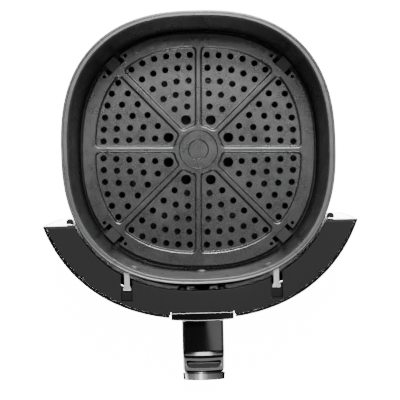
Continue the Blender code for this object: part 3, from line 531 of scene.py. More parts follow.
# crisper plate
plate = {"half": 110.3 * mm, "power": 2.45, "top": 30.0 * mm, "bottom": 25.0 * mm, "deep": 3.0 * mm,
         "fieldHalf": 98.6 * mm, "ribTop": 2.6 * mm, "corner": 5.2 * mm, "hub": 21.6 * mm,
         "edgeRun": 0.8 * mm, "edgeDrop": 0.22 * mm, "crisp": 5.0,
         "wallRun": 0.9 * mm, "wallRound": 0.9 * mm, "turn": radians(-1.4), "ribs": 8, "steps": 240,
         "edge": 1.1 * mm}


def fieldCore(s):
    # a field is this outline grown by a radius, so its corners are round at every level
    grow, spread = s["corner"], 2.0 * pi / s["ribs"]
    lift = s["ribTop"] / 2.0 + grow
    reach, near = s["fieldHalf"] - grow, s["hub"] + grow

    def outward(angle):
        radius = superRadius(angle, reach, reach, s["power"])
        x, y = radius * cos(angle), radius * sin(angle)
        return Vector((x, y)), Vector((x ** (s["power"] - 1.0), y ** (s["power"] - 1.0))).normalized()

    def ribAngle(limit):   # where the grown rib line meets a curve of that reach
        angle = asin(lift / limit)
        for _ in range(8):
            radius = superRadius(angle, reach, reach, s["power"]) if limit == reach else limit
            angle = asin(lift / radius)
        return angle

    first, last = ribAngle(reach), spread - ribAngle(reach)
    begin, end = ribAngle(near), spread - ribAngle(near)
    downA, downB = Vector((0.0, -1.0)), Vector((-sin(spread), cos(spread)))
    core = []

    def sweep(point, start, stop, count=7):
        startAngle, stopAngle = atan2(start.y, start.x), atan2(stop.y, stop.x)
        while stopAngle < startAngle:
            stopAngle += 2.0 * pi
        for step in range(count + 1):
            angle = startAngle + (stopAngle - startAngle) * step / count
            core.append((point, Vector((cos(angle), sin(angle)))))

    point, normal = outward(first)
    sweep(point, downA, normal)
    for step in range(1, 20):
        core.append(outward(first + (last - first) * step / 20))
    point, normal = outward(last)
    sweep(point, normal, downB)
    point = Vector((near * cos(end), near * sin(end)))
    sweep(point, downB, -point.normalized())
    for step in range(1, 6):
        angle = end + (begin - end) * step / 6
        spot = Vector((cos(angle), sin(angle)))
        core.append((spot * near, -spot))
    point = Vector((near * cos(begin), near * sin(begin)))
    sweep(point, -point.normalized(), downA)
    return core


def fieldCutter(name, mirrored):
    s = plate
    core = fieldCore(s)
    ease, drop, run = s["edgeRun"], s["edgeDrop"], s["wallRun"]   # eased top edge, then the wall
    slope = filletPath([(-2 * mm, 0.0), (-ease, 0.0), (0.0, -drop), (run, -s["deep"]),
                        (run + 2 * mm, -s["deep"])], [0.3 * mm, 0.6 * mm, s["wallRound"]], 4)[1:-1]
    start = slope[0].x
    levels = [(run - start, drop) for run, drop in slope]
    rings = []
    for run, drop in [(0.0, mm)] + levels:
        ring = []
        for point, normal in core:
            x, y = point + normal * (s["corner"] - run)
            if mirrored:   # the next field, mirrored about the rib between them
                twist = 4.0 * pi / s["ribs"]
                x, y = x * cos(twist) + y * sin(twist), x * sin(twist) - y * cos(twist)
            ring.append(Vector((x, y, s["top"] + drop)))
        rings.append(ring)
    bm = bmesh.new()
    skinRings(bm, rings)
    return meshPiece(name, bm)


holes = {"small": 5.6 * mm, "big": 9.0 * mm, "firstRow": 29.2 * mm, "pitch": 12.2 * mm, "rows": 6,
         "power": 2.8, "ribGap": 8.1 * mm, "ribGapGrow": 0.6 * mm, "chamfer": 0.3 * mm,
         "unit": 10.0 * mm, "tie": 3.3 * mm, "tieRadius": 112.8 * mm, "tieAngle": radians(7.15)}


def holePlaces():
    s, spread = holes, 2.0 * pi / plate["ribs"]
    for row in range(s["rows"]):
        base = s["firstRow"] + s["pitch"] * row
        if row == 0:
            yield superRadius(spread / 2.0, base, base, s["power"]), spread / 2.0, s["big"]
            continue
        gap = s["ribGap"] + s["ribGapGrow"] * (s["rows"] - 1 - row)
        start = asin(gap / superRadius(radians(8), base, base, s["power"]))
        for index in range(row + 1):
            angle = start + (spread - 2.0 * start) * index / row
            yield superRadius(angle, base, base, s["power"]), angle, s["small"]


def makePlate():
    s = plate
    edge, half = s["edge"], s["half"]
    outline = filletPath([(half - 6 * mm, s["bottom"]), (half, s["bottom"]), (half, s["top"]),
                          (half - 6 * mm, s["top"])], [0.6 * mm, edge], 5)
    bm = bmesh.new()
    skinRings(bm, [superRing(x, x, s["power"], z, s["steps"]) for x, z in outline])
    blank = meshPiece("plateBlank", bm)
    for mirrored in (False, True):   # four fields of each hand
        cutter = fieldCutter("fieldCutter", mirrored)
        turns = [(0.0, 0.0, quarter * pi / 2.0) for quarter in range(4)]
        cloud = pointCloud("fields", [(0, 0, 0)] * 4, turns, [(1, 1, 1)] * 4)
        cut = stamp.apply(cloud, {"Blank": blank, "Cutter": cutter, "Material": plateCoating})
        bpy.data.objects.remove(blank)
        bpy.data.objects.remove(cutter)
        blank = cut
    cutAway(blank, [hubCutter()] + bumperSeatCutters() + tieDrills())
    places, sizes = [], []
    for field in range(s["ribs"]):
        for radius, angle, size in holePlaces():
            spread = 2.0 * pi / s["ribs"]
            heading = (field + 1) * spread - angle if field % 2 else field * spread + angle
            places.append((radius * cos(heading), radius * sin(heading), 0.0))
            sizes.append((size / 2.0 / holes["unit"],) * 2 + (1.0,))
    deck, unit = s["top"] - s["deep"], holes["unit"]
    flare = 1.0 + 2.0 * holes["chamfer"] / holes["small"]
    cutter = turned("holeCutter", (0, 0, s["bottom"] - mm), (0, 0, 1),
                    ((0.0, unit), (deck - holes["chamfer"] - s["bottom"] + mm, unit),
                     (deck - s["bottom"] + mm, unit * flare),
                     (s["top"] - s["bottom"] + 2 * mm, unit * flare)), 28)
    cloud = pointCloud("crisperPlate", places, [(0.0, 0.0, 0.0)] * len(places), sizes)
    piece = stamp.apply(cloud, {"Blank": blank, "Cutter": cutter, "Material": plateCoating})
    bpy.data.objects.remove(blank)
    bpy.data.objects.remove(cutter)
    piece.data.transform(Matrix.Rotation(s["turn"], 4, 'Z'))
    piece.data.set_sharp_from_angle(angle=radians(s["crisp"]))   # crisp lines along the ribs
    return place(piece, "crisper", "plate_coating", "crisper_plate")


hub = {"dish": 18.6 * mm, "dishDeep": 1.3 * mm, "dimple": 9.8 * mm, "dimpleDeep": 2.6 * mm,
       "slope": 0.8 * mm}


def hubCutter():
    s, top = hub, plate["top"]
    line = filletPath([(0.3 * mm, -s["dimpleDeep"]), (s["dimple"] - s["slope"], -s["dimpleDeep"]),
                       (s["dimple"], -s["dishDeep"]), (s["dish"] - s["slope"], -s["dishDeep"]),
                       (s["dish"], 0.0), (s["dish"], mm)], [0.5 * mm, 0.5 * mm, 0.5 * mm, 0.0], 4)
    return turned("hubCutter", (0, 0, top), (0, 0, 1), [(drop, radius) for radius, drop in line], 96)


bumper = {"width": 12.5 * mm, "inner": 109.2 * mm, "slot": 4.0 * mm, "tabWidth": 9.0 * mm,
          "tabThick": 2.2 * mm, "gap": 0.3 * mm}


def plateRectangle(radius, halfWidth, low, high, turn):
    spin = Matrix.Rotation(turn, 3, 'Z')
    corners = ((-halfWidth, low), (halfWidth, low), (halfWidth, high), (-halfWidth, high))
    return [spin @ Vector((radius, across, z)) for across, z in corners]


def bumperSeatCutters():
    s, cutters = bumper, []
    wide, middle = s["width"] / 2.0 + s["slot"], (plate["top"] + plate["bottom"]) / 2.0
    around = (wide, plate["bottom"] - mm, plate["top"] + mm)
    tab = (s["tabWidth"] / 2.0, middle - s["tabThick"] / 2.0, middle + s["tabThick"] / 2.0)
    start, stop = s["inner"] - s["gap"], s["inner"] + 22 * mm
    for corner in range(4):
        turn = pi / 4.0 + corner * pi / 2.0
        bm = bmesh.new()
        skinRings(bm, [plateRectangle(start, *around, turn), plateRectangle(stop, *around, turn),
                       plateRectangle(stop, *tab, turn), plateRectangle(start, *tab, turn)], True)
        cutters.append(meshPiece("seatCutter", bm))
    return cutters


def tieDrills():
    drills = []
    for corner in range(4):
        for side in (-1.0, 1.0):
            angle = pi / 4.0 + corner * pi / 2.0 + side * holes["tieAngle"]
            x, y = holes["tieRadius"] * cos(angle), holes["tieRadius"] * sin(angle)
            drills.append(turned("tieDrill", (x, y, plate["bottom"] - mm), (x, y, 1.0),
                                 ((0.0, holes["tie"] / 2.0), (8 * mm, holes["tie"] / 2.0)), 24))
    return drills


def softCopy(name, source, width, material, body, slot, segments=2, slotAt=None):
    # a CAD part again, its triangles merged and its edges rounded
    bm = bmesh.new()
    bm.from_mesh(frame["nodes"][source].data)
    bmesh.ops.remove_doubles(bm, verts=bm.verts, dist=0.005 * mm)
    bmesh.ops.dissolve_limit(bm, angle_limit=radians(1.0), verts=bm.verts, edges=bm.edges)
    piece = meshPiece(name, bm, material, sharp=30.0)
    soften(piece, width, segments)
    if slotAt:
        x, y, z = slotAt
        cutAway(piece, [boxPiece("dash", (x - 3.3 * mm, y - mm, z - 0.5 * mm),
                                 (x + 3.3 * mm, y + 2 * mm, z + 0.5 * mm))])
    return place(piece, body, slot, source)


stamp = stampTree()
scatter = scatterTree()
makePan()
makeRivets()
print("pan and rivets made")
makePlate()
for corner in range(1, 5):
    softCopy(f"bumper{corner}", f"plate_bumper_{corner}", 0.7 * mm, siliconeRubber, "crisper",
             "silicone", 3)
print("crisper plate and bumpers made")


# front: cover, shell, liner and base
front = {"top": 108.0 * mm, "base": 1.6 * mm, "endTop": -68.0 * mm, "endBase": -62.8 * mm,
         "outerX": 152.4 * mm, "outerY": 155.0 * mm, "outerPower": 2.3, "wall": 2.5 * mm,
         "shoulderLine": ((1.0 * mm, 1.0 * mm), (1.5 * mm, 0.45 * mm), (1.9 * mm, 0.15 * mm),
                          (2.2 * mm, 0.0)), "shoulder": 2.2 * mm, "tuck": 8.0 * mm, "tuckPower": 1.6,
         "innerX": 125.0 * mm, "innerY": 129.0 * mm, "innerPower": 2.4,
         "coverThick": 3.0 * mm, "setback": 0.8 * mm, "linerWall": 2.0 * mm,
         "baseThick": 2.0 * mm, "basePlay": 1.2 * mm, "capThick": 2.5 * mm, "endBend": 2.4 * mm,
         "gap": 0.3 * mm, "steps": 110, "bossAngles": (-143.0, -105.0, -75.0, -37.0),
         "boss": 4.5 * mm, "snapAngle": -47.2, "snap": 1.9 * mm, "pocket": 5.2 * mm,
         "pocketEnd": -137.0 * mm, "hookX": 67.5 * mm, "screw": 2.3 * mm}


def frontEnd(z):
    share = (z - front["base"]) / (front["top"] - front["base"])
    return front["endBase"] + (front["endTop"] - front["endBase"]) * share


def outside(z, inset=0.0):   # shell's outer curve at a height, moved inwards
    fall = (front["top"] - z) / (front["top"] - front["base"])
    inset += front["tuck"] * fall ** front["tuckPower"]
    return front["outerX"] - inset, front["outerY"] - inset, front["outerPower"]


def inside(inset):   # the curve beside the rim, moved outwards
    return front["innerX"] + inset, front["innerY"] + inset, front["innerPower"]


def arcPoint(curve, endY, share, z):   # share runs from the right end round to the left
    halfX, halfY, power = curve
    endX = halfX * (1.0 - (abs(endY) / halfY) ** power) ** (1.0 / power)
    first = atan2(endY, endX)
    angle = first + (-pi - 2.0 * first) * share
    radius = superRadius(angle, halfX, halfY, power)
    return Vector((radius * cos(angle), radius * sin(angle), z))


def arcSolid(name, section, material=None, bend=0.0, endInset=0.0, sharp=40.0):
    # section is a closed line of (curve, z); bend rounds the top edge of both ends
    rows, top = [], max(z for _, z in section)
    if bend:
        for step in range(6):
            angle = pi / 2.0 * step / 6
            rows.append((0.0, bend - bend * cos(angle), top - bend + bend * sin(angle)))
    for step in range(front["steps"] + 1):
        rows.append((step / front["steps"], bend, top))
    rows += [(1.0, back, lid) for share, back, lid in rows[5::-1]] if bend else []
    rings = []
    for share, back, lid in rows:
        rings.append([arcPoint(curve, frontEnd(z) - endInset - back, share, min(z, lid))
                      for curve, z in section])
    bm = bmesh.new()
    skinRings(bm, rings)
    return meshPiece(name, bm, material, sharp)


def bossPlaces():
    places = []
    for degrees in front["bossAngles"]:
        angle = radians(degrees)
        near = superRadius(angle, *inside(front["setback"] + front["linerWall"]))
        far = superRadius(angle, *outside(front["base"], front["wall"] + front["gap"]))
        radius = (near + far) / 2.0
        places.append((radius * cos(angle), radius * sin(angle)))
    return places


def makeCover():
    s = front
    top, under = s["top"], s["top"] - s["coverThick"]
    rim = s["wall"] + s["gap"]
    level = top - s["shoulder"]

    def outer(inset):
        halfX, halfY, power = outside(level, rim + inset)
        return halfX, halfY, power

    edge, small = 0.8 * mm, 0.4 * mm
    section = [(inside(0.0), under), (inside(0.0), top - edge), (inside(0.1 * mm), top - edge * 0.5),
               (inside(0.35 * mm), top - edge * 0.18), (inside(edge), top),
               (outer(small), top), (outer(small * 0.3), top - small * 0.3),
               (outer(0.0), top - small), (outer(0.0), under)]
    cover = arcSolid("coverTop", section, mattePlastic, s["endBend"], sharp=30.0)
    cuts = []
    for side in (-1.0, 1.0):
        x = side * s["hookX"]
        cuts.append(boxPiece("pocket", (x - s["pocket"], s["pocketEnd"], under - mm),
                             (x + s["pocket"], -100 * mm, top + mm)))
        angle = radians(s["snapAngle"])
        radius = superRadius(angle, *outer(0.0)) - 0.6 * mm
        x, y = side * radius * cos(angle), radius * sin(angle)
        cuts.append(turned("snap", (x, y, under - mm), (x, y, 1.0),
                           ((0.0, s["snap"]), (6 * mm, s["snap"])), 28))
    cuts.append(boxPiece("rootNotch", (-root["half"] - s["gap"], -s["outerY"], under - mm),
                         (root["half"] + s["gap"], root["innerY"] + s["gap"], top + mm)))
    cutAway(cover, cuts)
    soften(cover, 0.45 * mm, 2, 50.0)
    posts, holes = [], []
    foot = s["base"] + s["baseThick"] + s["gap"]
    for x, y in bossPlaces():
        posts.append(turned("post", (x, y, foot), (x, y, 1.0),
                            ((0.0, s["boss"] - small), (small, s["boss"]),
                             (under + 0.5 * mm - foot, s["boss"])), 32))
        holes.append(turned("bore", (x, y, foot - mm), (x, y, 1.0),
                            ((0.0, s["screw"]), (15 * mm, s["screw"])), 24))
    cutAway(cover, posts, 'UNION')
    cutAway(cover, holes)
    return place(cover, "drawer", "matte_plastic", "cover_top")


def makeShell():
    s = front
    shoulder, top = s["shoulder"], s["top"]
    levels = [s["base"] + (top - shoulder - s["base"]) * step / 12 for step in range(13)]
    section = [(outside(s["base"], 0.5 * mm), s["base"])]
    section += [(outside(z), max(z, s["base"] + 0.5 * mm)) for z in levels]
    for inset, drop in s["shoulderLine"]:
        section.append((outside(top - shoulder, inset), top - drop))
    section.append((outside(top - shoulder, s["wall"]), top))
    section += [(outside(z, s["wall"]), z) for z in levels[::-1]]
    shell = arcSolid("frontShell", section, shellPlastic, sharp=35.0)
    half = root["half"] + root["slit"]
    notch = boxPiece("notch", (-half, -s["outerY"] - 10 * mm, root["base"] - root["slit"]),
                     (half, -s["outerY"] + 12 * mm, top + 5 * mm))
    cutAway(shell, [notch])
    return place(shell, "drawer", "gloss_plastic", "front_shell")


def makeLiner():
    s = front
    low = s["base"] + s["baseThick"] + s["gap"]
    high = s["top"] - s["coverThick"] - s["gap"]
    near, far, edge = s["setback"], s["setback"] + s["linerWall"], 0.5 * mm
    section = [(inside(near + edge), low), (inside(near), low + edge), (inside(near), high - edge),
               (inside(near + edge), high), (inside(far - edge), high), (inside(far), high - edge),
               (inside(far), low + edge), (inside(far - edge), low)]
    liner = arcSolid("frontLiner", section, mattePlastic, sharp=50.0)
    cuts = []
    for side in (-1.0, 1.0):
        x = side * s["hookX"]
        cuts.append(boxPiece("slot", (x - s["pocket"], -s["outerY"], 86.4 * mm),
                             (x + s["pocket"], -100 * mm, s["top"])))
    wide = tabPlate["half"] + mm
    cuts.append(boxPiece("slot", (-wide, -s["outerY"], tabPlate["z"] - mm),
                         (wide, -120 * mm, tabPlate["z"] + 3 * mm)))
    for x, z in handleScrewPlaces():
        cuts.append(turned("bore", (x, -122 * mm, z), (x, -200 * mm, z),
                           ((0.0, s["screw"]), (20 * mm, s["screw"])), 24))
    cutAway(liner, cuts)
    soften(liner, 0.3 * mm, 2, 60.0)
    return place(liner, "drawer", "matte_plastic", "front_liner")


def makeBase():
    s = front
    low, high, edge = s["base"], s["base"] + s["baseThick"], 0.5 * mm
    rim = s["wall"] + s["gap"]

    def besidePan(inset):
        half = panHalves(pan["ledge"])[0] - pan["ledgeWidth"] + pan["wall"] + s["basePlay"] + inset
        return half, half, pan["power"]

    section = [(besidePan(0.0), high), (besidePan(0.0), low + edge), (besidePan(edge), low),
               (outside(low, rim + edge), low),
               (outside(low, rim), low + edge), (outside(low, rim), high)]
    base = arcSolid("frontBase", section, mattePlastic, endInset=s["capThick"] + s["gap"])
    holes = [turned("hole", (x, y, 0.0), (x, y, 1.0),
                    ((0.0, 2.9 * mm), (low + 0.4 * mm, s["screw"]), (high + mm, s["screw"])), 32)
             for x, y in bossPlaces()]
    cutAway(base, holes)
    return place(base, "drawer", "matte_plastic", "front_bottom")


tabPlate = {"half": 7.0 * mm, "z": 50.0 * mm}
guide = {"near": 114.8 * mm, "width": 6.0 * mm, "reach": 5.0 * mm, "low": 87.0 * mm,
         "high": 103.0 * mm, "edge": 1.2 * mm}


def makeGuides():
    s = guide
    face = frontEnd(s["low"]) + front["gap"]
    for side, word in ((-1.0, "left"), (1.0, "right")):
        rings = []
        levels = [(s["low"], s["edge"]), (s["low"] + s["edge"], 0.0)]
        levels += [(s["high"] - s["edge"] + s["edge"] * sin(pi / 2.0 * step / 4),
                    s["edge"] * (1.0 - cos(pi / 2.0 * step / 4))) for step in range(5)]
        for z, inset in levels:
            half = s["width"] / 2.0 - inset
            ring = [Vector((side * (s["near"] + inset), face, z))]
            for step in range(17):
                angle = pi * step / 16
                ring.append(Vector((side * (s["near"] + s["width"] / 2.0 - half * cos(angle)),
                                    face + s["reach"] - s["width"] / 2.0 + half * sin(angle), z)))
            ring.append(Vector((side * (s["near"] + s["width"] - inset), face, z)))
            rings.append(ring)
        bm = bmesh.new()
        skinRings(bm, rings)
        piece = meshPiece("sideGuide_" + word, bm, mattePlastic)
        place(piece, "drawer", "matte_plastic", "side_guide_" + word)


def makeEndCaps():
    for side, word in ((-1.0, "left"), (1.0, "right")):
        name = "end_cap_" + word
        softCopy("endCap_" + word, name, 0.5 * mm, glossPlastic, "drawer", "gloss_plastic",
                 slotAt=(side * 124.2 * mm, frontEnd(100 * mm), 100 * mm))


# screws
screwShape = {"shank": 2.0 * mm, "head": 4.0 * mm, "recess": 0.55 * mm, "recessDeep": 1.1 * mm}


def makeScrews(name, places, direction, length, nodes, headThick, material=zincSteel):
    # pan-head screws with a cross recess; places are the heads' outer ends
    s, thick = screwShape, headThick
    stations = ((0.0, s["head"] * 0.62), (thick * 0.12, s["head"] * 0.8),
                (thick * 0.4, s["head"] * 0.95), (thick * 0.7, s["head"]),
                (thick, s["head"]), (thick + 0.01 * mm, s["shank"]),
                (length - 1.2 * mm, s["shank"]), (length, s["shank"] * 0.5))
    part = turned("screwPart", (0, 0, 0), (0, 0, 1), stations, 32)
    deep, half = min(s["recessDeep"], thick * 0.6), s["head"] * 0.55
    cross = [boxPiece("recess", (-half, -s["recess"], -mm), (half, s["recess"], deep), turn)
             for turn in (0.0, pi / 2.0)]
    cutAway(part, cross)
    turn = Vector(direction).to_track_quat('Z', 'Y').to_euler()
    piece = scatter.apply(pointCloud(name, places, [turn] * len(places)),
                          {"Part": part, "Material": material})
    bpy.data.objects.remove(part)
    return place(piece, "drawer", "zinc_steel", *nodes)


# handle
root = {"half": 28.2 * mm, "innerY": -148.5 * mm, "proud": 1.5 * mm, "base": 62.0 * mm,
        "slit": 1.5 * mm, "edge": 1.0 * mm}
handle = {"half": 19.0 * mm, "deep": 7.5 * mm, "parting": 0.15 * mm, "round": 2.6 * mm,
          "crown": 0.7 * mm, "outerBends": (11.0 * mm, 9.0 * mm), "midBends": (4.0 * mm, 4.0 * mm),
          "innerBends": (3.0 * mm, 4.0 * mm), "footRound": 1.6 * mm, "gap": 0.3 * mm,
          "core": 12.0 * mm, "coreThick": 1.5 * mm, "coreShort": 5.0 * mm,
          "screwX": 18.0 * mm, "screwZ": (72.0 * mm, 94.0 * mm), "screwSeat": 4.0 * mm,
          "screwShares": (0.22, 0.80)}
handlePath = [Vector((-156.8 * mm, 92.0 * mm)), Vector((-185.0 * mm, 92.0 * mm)),
              Vector((-197.6 * mm, 79.0 * mm)), Vector((-209.0 * mm, 31.0 * mm))]


def handleScrewPlaces():
    return [(side * handle["screwX"], z) for z in handle["screwZ"] for side in (-1.0, 1.0)]


def outwards(start, end):
    run = (end - start).normalized()
    return Vector((run.y, -run.x))


def pathAt(rise, before=0.0, short=0.0):
    # the handle's line moved outwards by a rise, with its bends rounded to suit
    s, points = handle, list(handlePath)
    points[0] = points[0] + Vector((before, 0.0))
    points[-1] = points[-1] + (points[2] - points[3]).normalized() * short
    moved = []
    for index, point in enumerate(points):
        if index in (0, len(points) - 1):
            pair = points[:2] if index == 0 else points[-2:]
            moved.append(point + outwards(*pair) * rise)
            continue
        first, second = outwards(points[index - 1], point), outwards(point, points[index + 1])
        mitre = (first + second).normalized()
        moved.append(point + mitre * rise / mitre.dot(first))
    far = s["outerBends"] if rise > 0.0 else s["innerBends"]
    share = min(1.0, abs(rise) / s["deep"])
    radii = [mid + (end - mid) * share for mid, end in zip(s["midBends"], far)]
    return filletPath(moved, radii, 8)


def sweepHandle(name, section, material=None, before=0.0, short=0.0, footRound=0.0, sharp=40.0):
    # section(inset) gives closed (x, rise) points
    profile = section(0.0)
    lines = [pathAt(rise, before, short + footRound) for _, rise in profile]
    rings = [[Vector((x, line[index].x, line[index].y)) for (x, _), line in zip(profile, lines)]
             for index in range(len(lines[0]))]
    foot, down = handlePath[3], (handlePath[3] - handlePath[2]).normalized()
    away = outwards(handlePath[2], foot)
    if footRound:
        for step in range(1, 6):
            angle = pi / 2.0 * step / 5
            back = short + footRound * (1.0 - sin(angle))
            ring = []
            for x, rise in section(footRound * (1.0 - cos(angle))):
                point = foot - down * back + away * rise
                ring.append(Vector((x, point.x, point.y)))
            rings.append(ring)
    bm = bmesh.new()
    skinRings(bm, rings)
    return meshPiece(name, bm, material, sharp)


def shellSection(side):   # side is 1 for the outer half of the grip and -1 for the inner
    def section(inset):
        s = handle
        half, deep, turn = s["half"] - inset, s["deep"] - inset, s["round"]
        points = [(half, s["parting"])]
        for step in range(7):
            angle = pi / 2.0 * step / 6
            points.append((half - turn + turn * cos(angle),
                           deep - s["crown"] - turn + turn * sin(angle)))
        for step in range(1, 10):
            x = (half - turn) * (1.0 - 2.0 * step / 10)
            points.append((x, deep - s["crown"] * (x / (half - turn)) ** 2))
        for step in range(7):
            angle = pi / 2.0 * (1.0 - step / 6)
            points.append((-half + turn - turn * cos(angle),
                           deep - s["crown"] - turn + turn * sin(angle)))
        points.append((-half, s["parting"]))
        return [(x, rise * side) for x, rise in points]

    return section


def coreSection(grow):
    half, thick = handle["core"] + grow, handle["coreThick"] + grow
    return lambda inset: [(half, -thick), (half, thick), (-half, thick), (-half, -thick)]


def gripScrewBores(clear):
    away, bores = outwards(handlePath[2], handlePath[3]), []
    for share in handle["screwShares"]:
        point = handlePath[2].lerp(handlePath[3], share)
        start, end = point - away * (handle["deep"] + mm), point + away * 4.6 * mm
        far = (end - start).length
        bores.append(turned("bore", (0.0, start.x, start.y), (0.0, end.x, end.y),
                            ((0.0, 4.0 * mm + clear), (2.62 * mm, 4.0 * mm + clear),
                             (2.63 * mm, 2.0 * mm + clear), (far, 2.0 * mm + clear)), 32))
    return bores


def makeHandle():
    s = handle
    for side, word, material, slot in ((1.0, "outer", glossPlastic, "gloss_plastic"),
                                       (-1.0, "inner", mattePlastic, "matte_plastic")):
        piece = sweepHandle("handle_" + word + "Half", shellSection(side), material,
                            footRound=s["footRound"])
        groove = sweepHandle("groove", coreSection(s["gap"]), before=2 * mm,
                             short=s["coreShort"] - s["gap"])
        cutAway(piece, [groove] + gripScrewBores(s["gap"]))
        place(piece, "drawer", slot, f"handle_{word}_shell")
    strap = sweepHandle("handleStrap", coreSection(0.0), zincSteel, short=s["coreShort"])
    cutAway(strap, gripScrewBores(s["gap"]))
    place(strap, "drawer", "zinc_steel", "handle_core")


trim = {"half": 19.4 * mm, "thick": 1.8 * mm, "start": 1.5 * mm, "dish": 0.9 * mm,
        "crownShare": 0.45, "crownPower": 2.2, "edgeShare": 0.35, "edgePower": 12,
        "endNarrow": 0.3, "kneeHalf": radians(15.3)}
thumb = {"half": 16.0 * mm, "shares": (0.34, 0.78), "rise": 1.2 * mm, "upper": 2.0 * mm,
         "lower": 5.6 * mm, "edge": 0.95 * mm}


def makeTrim():
    s, base = trim, handle["deep"] + handle["gap"]
    line = pathAt(base)
    foot, away = line[-1], outwards(handlePath[2], handlePath[3])
    up = (handlePath[2] - handlePath[3]).normalized()
    # the grip's straight run ends where the knee's bend begins
    corner = foot + up * ((handlePath[3] - handlePath[2]).length + base * tan(s["kneeHalf"]))
    length = (corner - foot).length - s["start"]
    rings = []
    for step in range(13):   # both ends are dished in
        turn = pi * step / 12
        share = min(1.0, sin(turn) * 1.0001)
        inset = s["dish"] * (1.0 - share)
        along = inset if step < 6 else length - inset
        half = s["half"] - inset * s["endNarrow"]
        ring = [(half, 0.0)]
        for index in range(13):
            x = half * (1.0 - 2.0 * index / 12)
            reach = abs(x) / half
            crown = 1.0 - s["crownShare"] * reach ** s["crownPower"]
            edge = 1.0 - s["edgeShare"] * reach ** s["edgePower"]
            ring.append((x, (s["thick"] - inset) * crown * edge))
        ring.append((-half, 0.0))
        rings.append([Vector((x, *(foot + up * along + away * rise))) for x, rise in ring])
    bm = bmesh.new()
    skinRings(bm, rings)
    piece = meshPiece("gripTrim", bm, brightChrome, sharp=50.0)
    return place(piece, "drawer", "chrome", "handle_trim")


def makeThumbPad():
    s = thumb
    bend, knee = handlePath[1], handlePath[2]
    slope, away = knee - bend, outwards(bend, knee)
    base = handle["deep"] + handle["gap"]
    start, end = (bend + slope * share + away * base for share in s["shares"])
    along = slope.normalized()
    length = (end - start).length
    rings = []
    for step in range(7):
        angle = pi / 2.0 * max(0.0, step - 1) / 5
        inset = s["edge"] * (1.0 - cos(angle))
        rise = (s["rise"] - s["edge"]) * min(step, 1) + s["edge"] * sin(angle)
        half, near, far = s["half"] - inset, inset, length - inset
        upper, lower = s["upper"] - inset, s["lower"] - inset
        outline = filletPath([(0.0, near), (half, near), (half, far), (-half, far), (-half, near),
                              (0.0, near)], [upper, lower, lower, upper], 6)[:-1]
        rings.append([Vector((point.x, *(start + along * point.y + away * rise)))
                      for point in outline])
    bm = bmesh.new()
    skinRings(bm, rings)
    piece = meshPiece("thumbPad", bm, padPlastic)
    return place(piece, "drawer", "matte_plastic", "thumb_pad")


def makeRoot():
    s = root
    outline = [(-s["half"], s["innerY"]), (s["half"], s["innerY"])]
    for step in range(25):
        x = s["half"] * (1.0 - 2.0 * step / 24)
        depth = front["outerY"] * (1.0 - (abs(x) / front["outerX"]) ** front["outerPower"]) ** (
            1.0 / front["outerPower"])
        outline.append((x, -depth - s["proud"]))
    bm = bmesh.new()
    skinRings(bm, [[Vector((x, y, z)) for x, y in outline] for z in (s["base"], front["top"])])
    block = meshPiece("handleRoot", bm, glossPlastic, sharp=30.0)
    soften(block, s["edge"], 4, 40.0)
    bores = [turned("bore", (x, s["innerY"] + mm, z), (x, -200 * mm, z),
                    ((0.0, front["screw"]), (7 * mm, front["screw"])), 24)
             for x, z in handleScrewPlaces()]
    cutAway(block, bores)
    return place(block, "drawer", "gloss_plastic", "handle_root")


def allScrews():
    s = handle
    seatX = s["screwX"] + s["screwSeat"]
    halfX, halfY, power = inside(front["setback"])
    seat = -halfY * (1.0 - (seatX / halfX) ** power) ** (1.0 / power)
    start = seat + s["gap"] + 2.4 * mm
    # the handle screws are zinc steel, painted near-black for the shade in the gap
    makeScrews("handleScrews", [(x, start, z) for x, z in handleScrewPlaces()], (0, -1, 0),
               start + 153.5 * mm, [f"handle_screw_{index}" for index in (1, 2, 3, 4)], 2.4 * mm,
               paintedShadeSteel)
    low = front["base"] - 1.4 * mm
    makeScrews("baseScrews", [(x, y, low) for x, y in bossPlaces()], (0, 0, 1),
               front["base"] + front["baseThick"] + 12 * mm - low,
               [f"cover_screw_{index}" for index in (1, 2, 3, 4)], 1.1 * mm)
    away = outwards(handlePath[2], handlePath[3])
    places = []
    for share in s["screwShares"]:
        point = handlePath[2].lerp(handlePath[3], share) - away * (s["deep"] - 0.4 * mm)
        places.append((0.0, point.x, point.y))
    makeScrews("gripScrews", places, (0.0, away.x, away.y), s["deep"] + 3.6 * mm,
               ["grip_screw_1", "grip_screw_2"], 0.9 * mm)


hook = {"x": 67.5 * mm, "half": 2.5 * mm, "endHalf": 3.7 * mm, "endY": -126.0 * mm,
        "flare": 2.0 * mm, "thick": 2.0 * mm, "top": 99.8 * mm, "drop": 9.0 * mm, "edge": 0.3 * mm,
        "padX": 63.75 * mm, "padWidth": 22.0 * mm, "padHeight": 24.0 * mm, "gap": 0.3 * mm}
catch = {"half": 5.8 * mm, "top": 97.5 * mm, "deep": 12.0 * mm, "near": -124.6 * mm,
         "far": -137.4 * mm, "slotHalf": 4.0 * mm, "slotNear": -125.7 * mm,
         "slotFar": -128.3 * mm, "edge": 0.7 * mm}


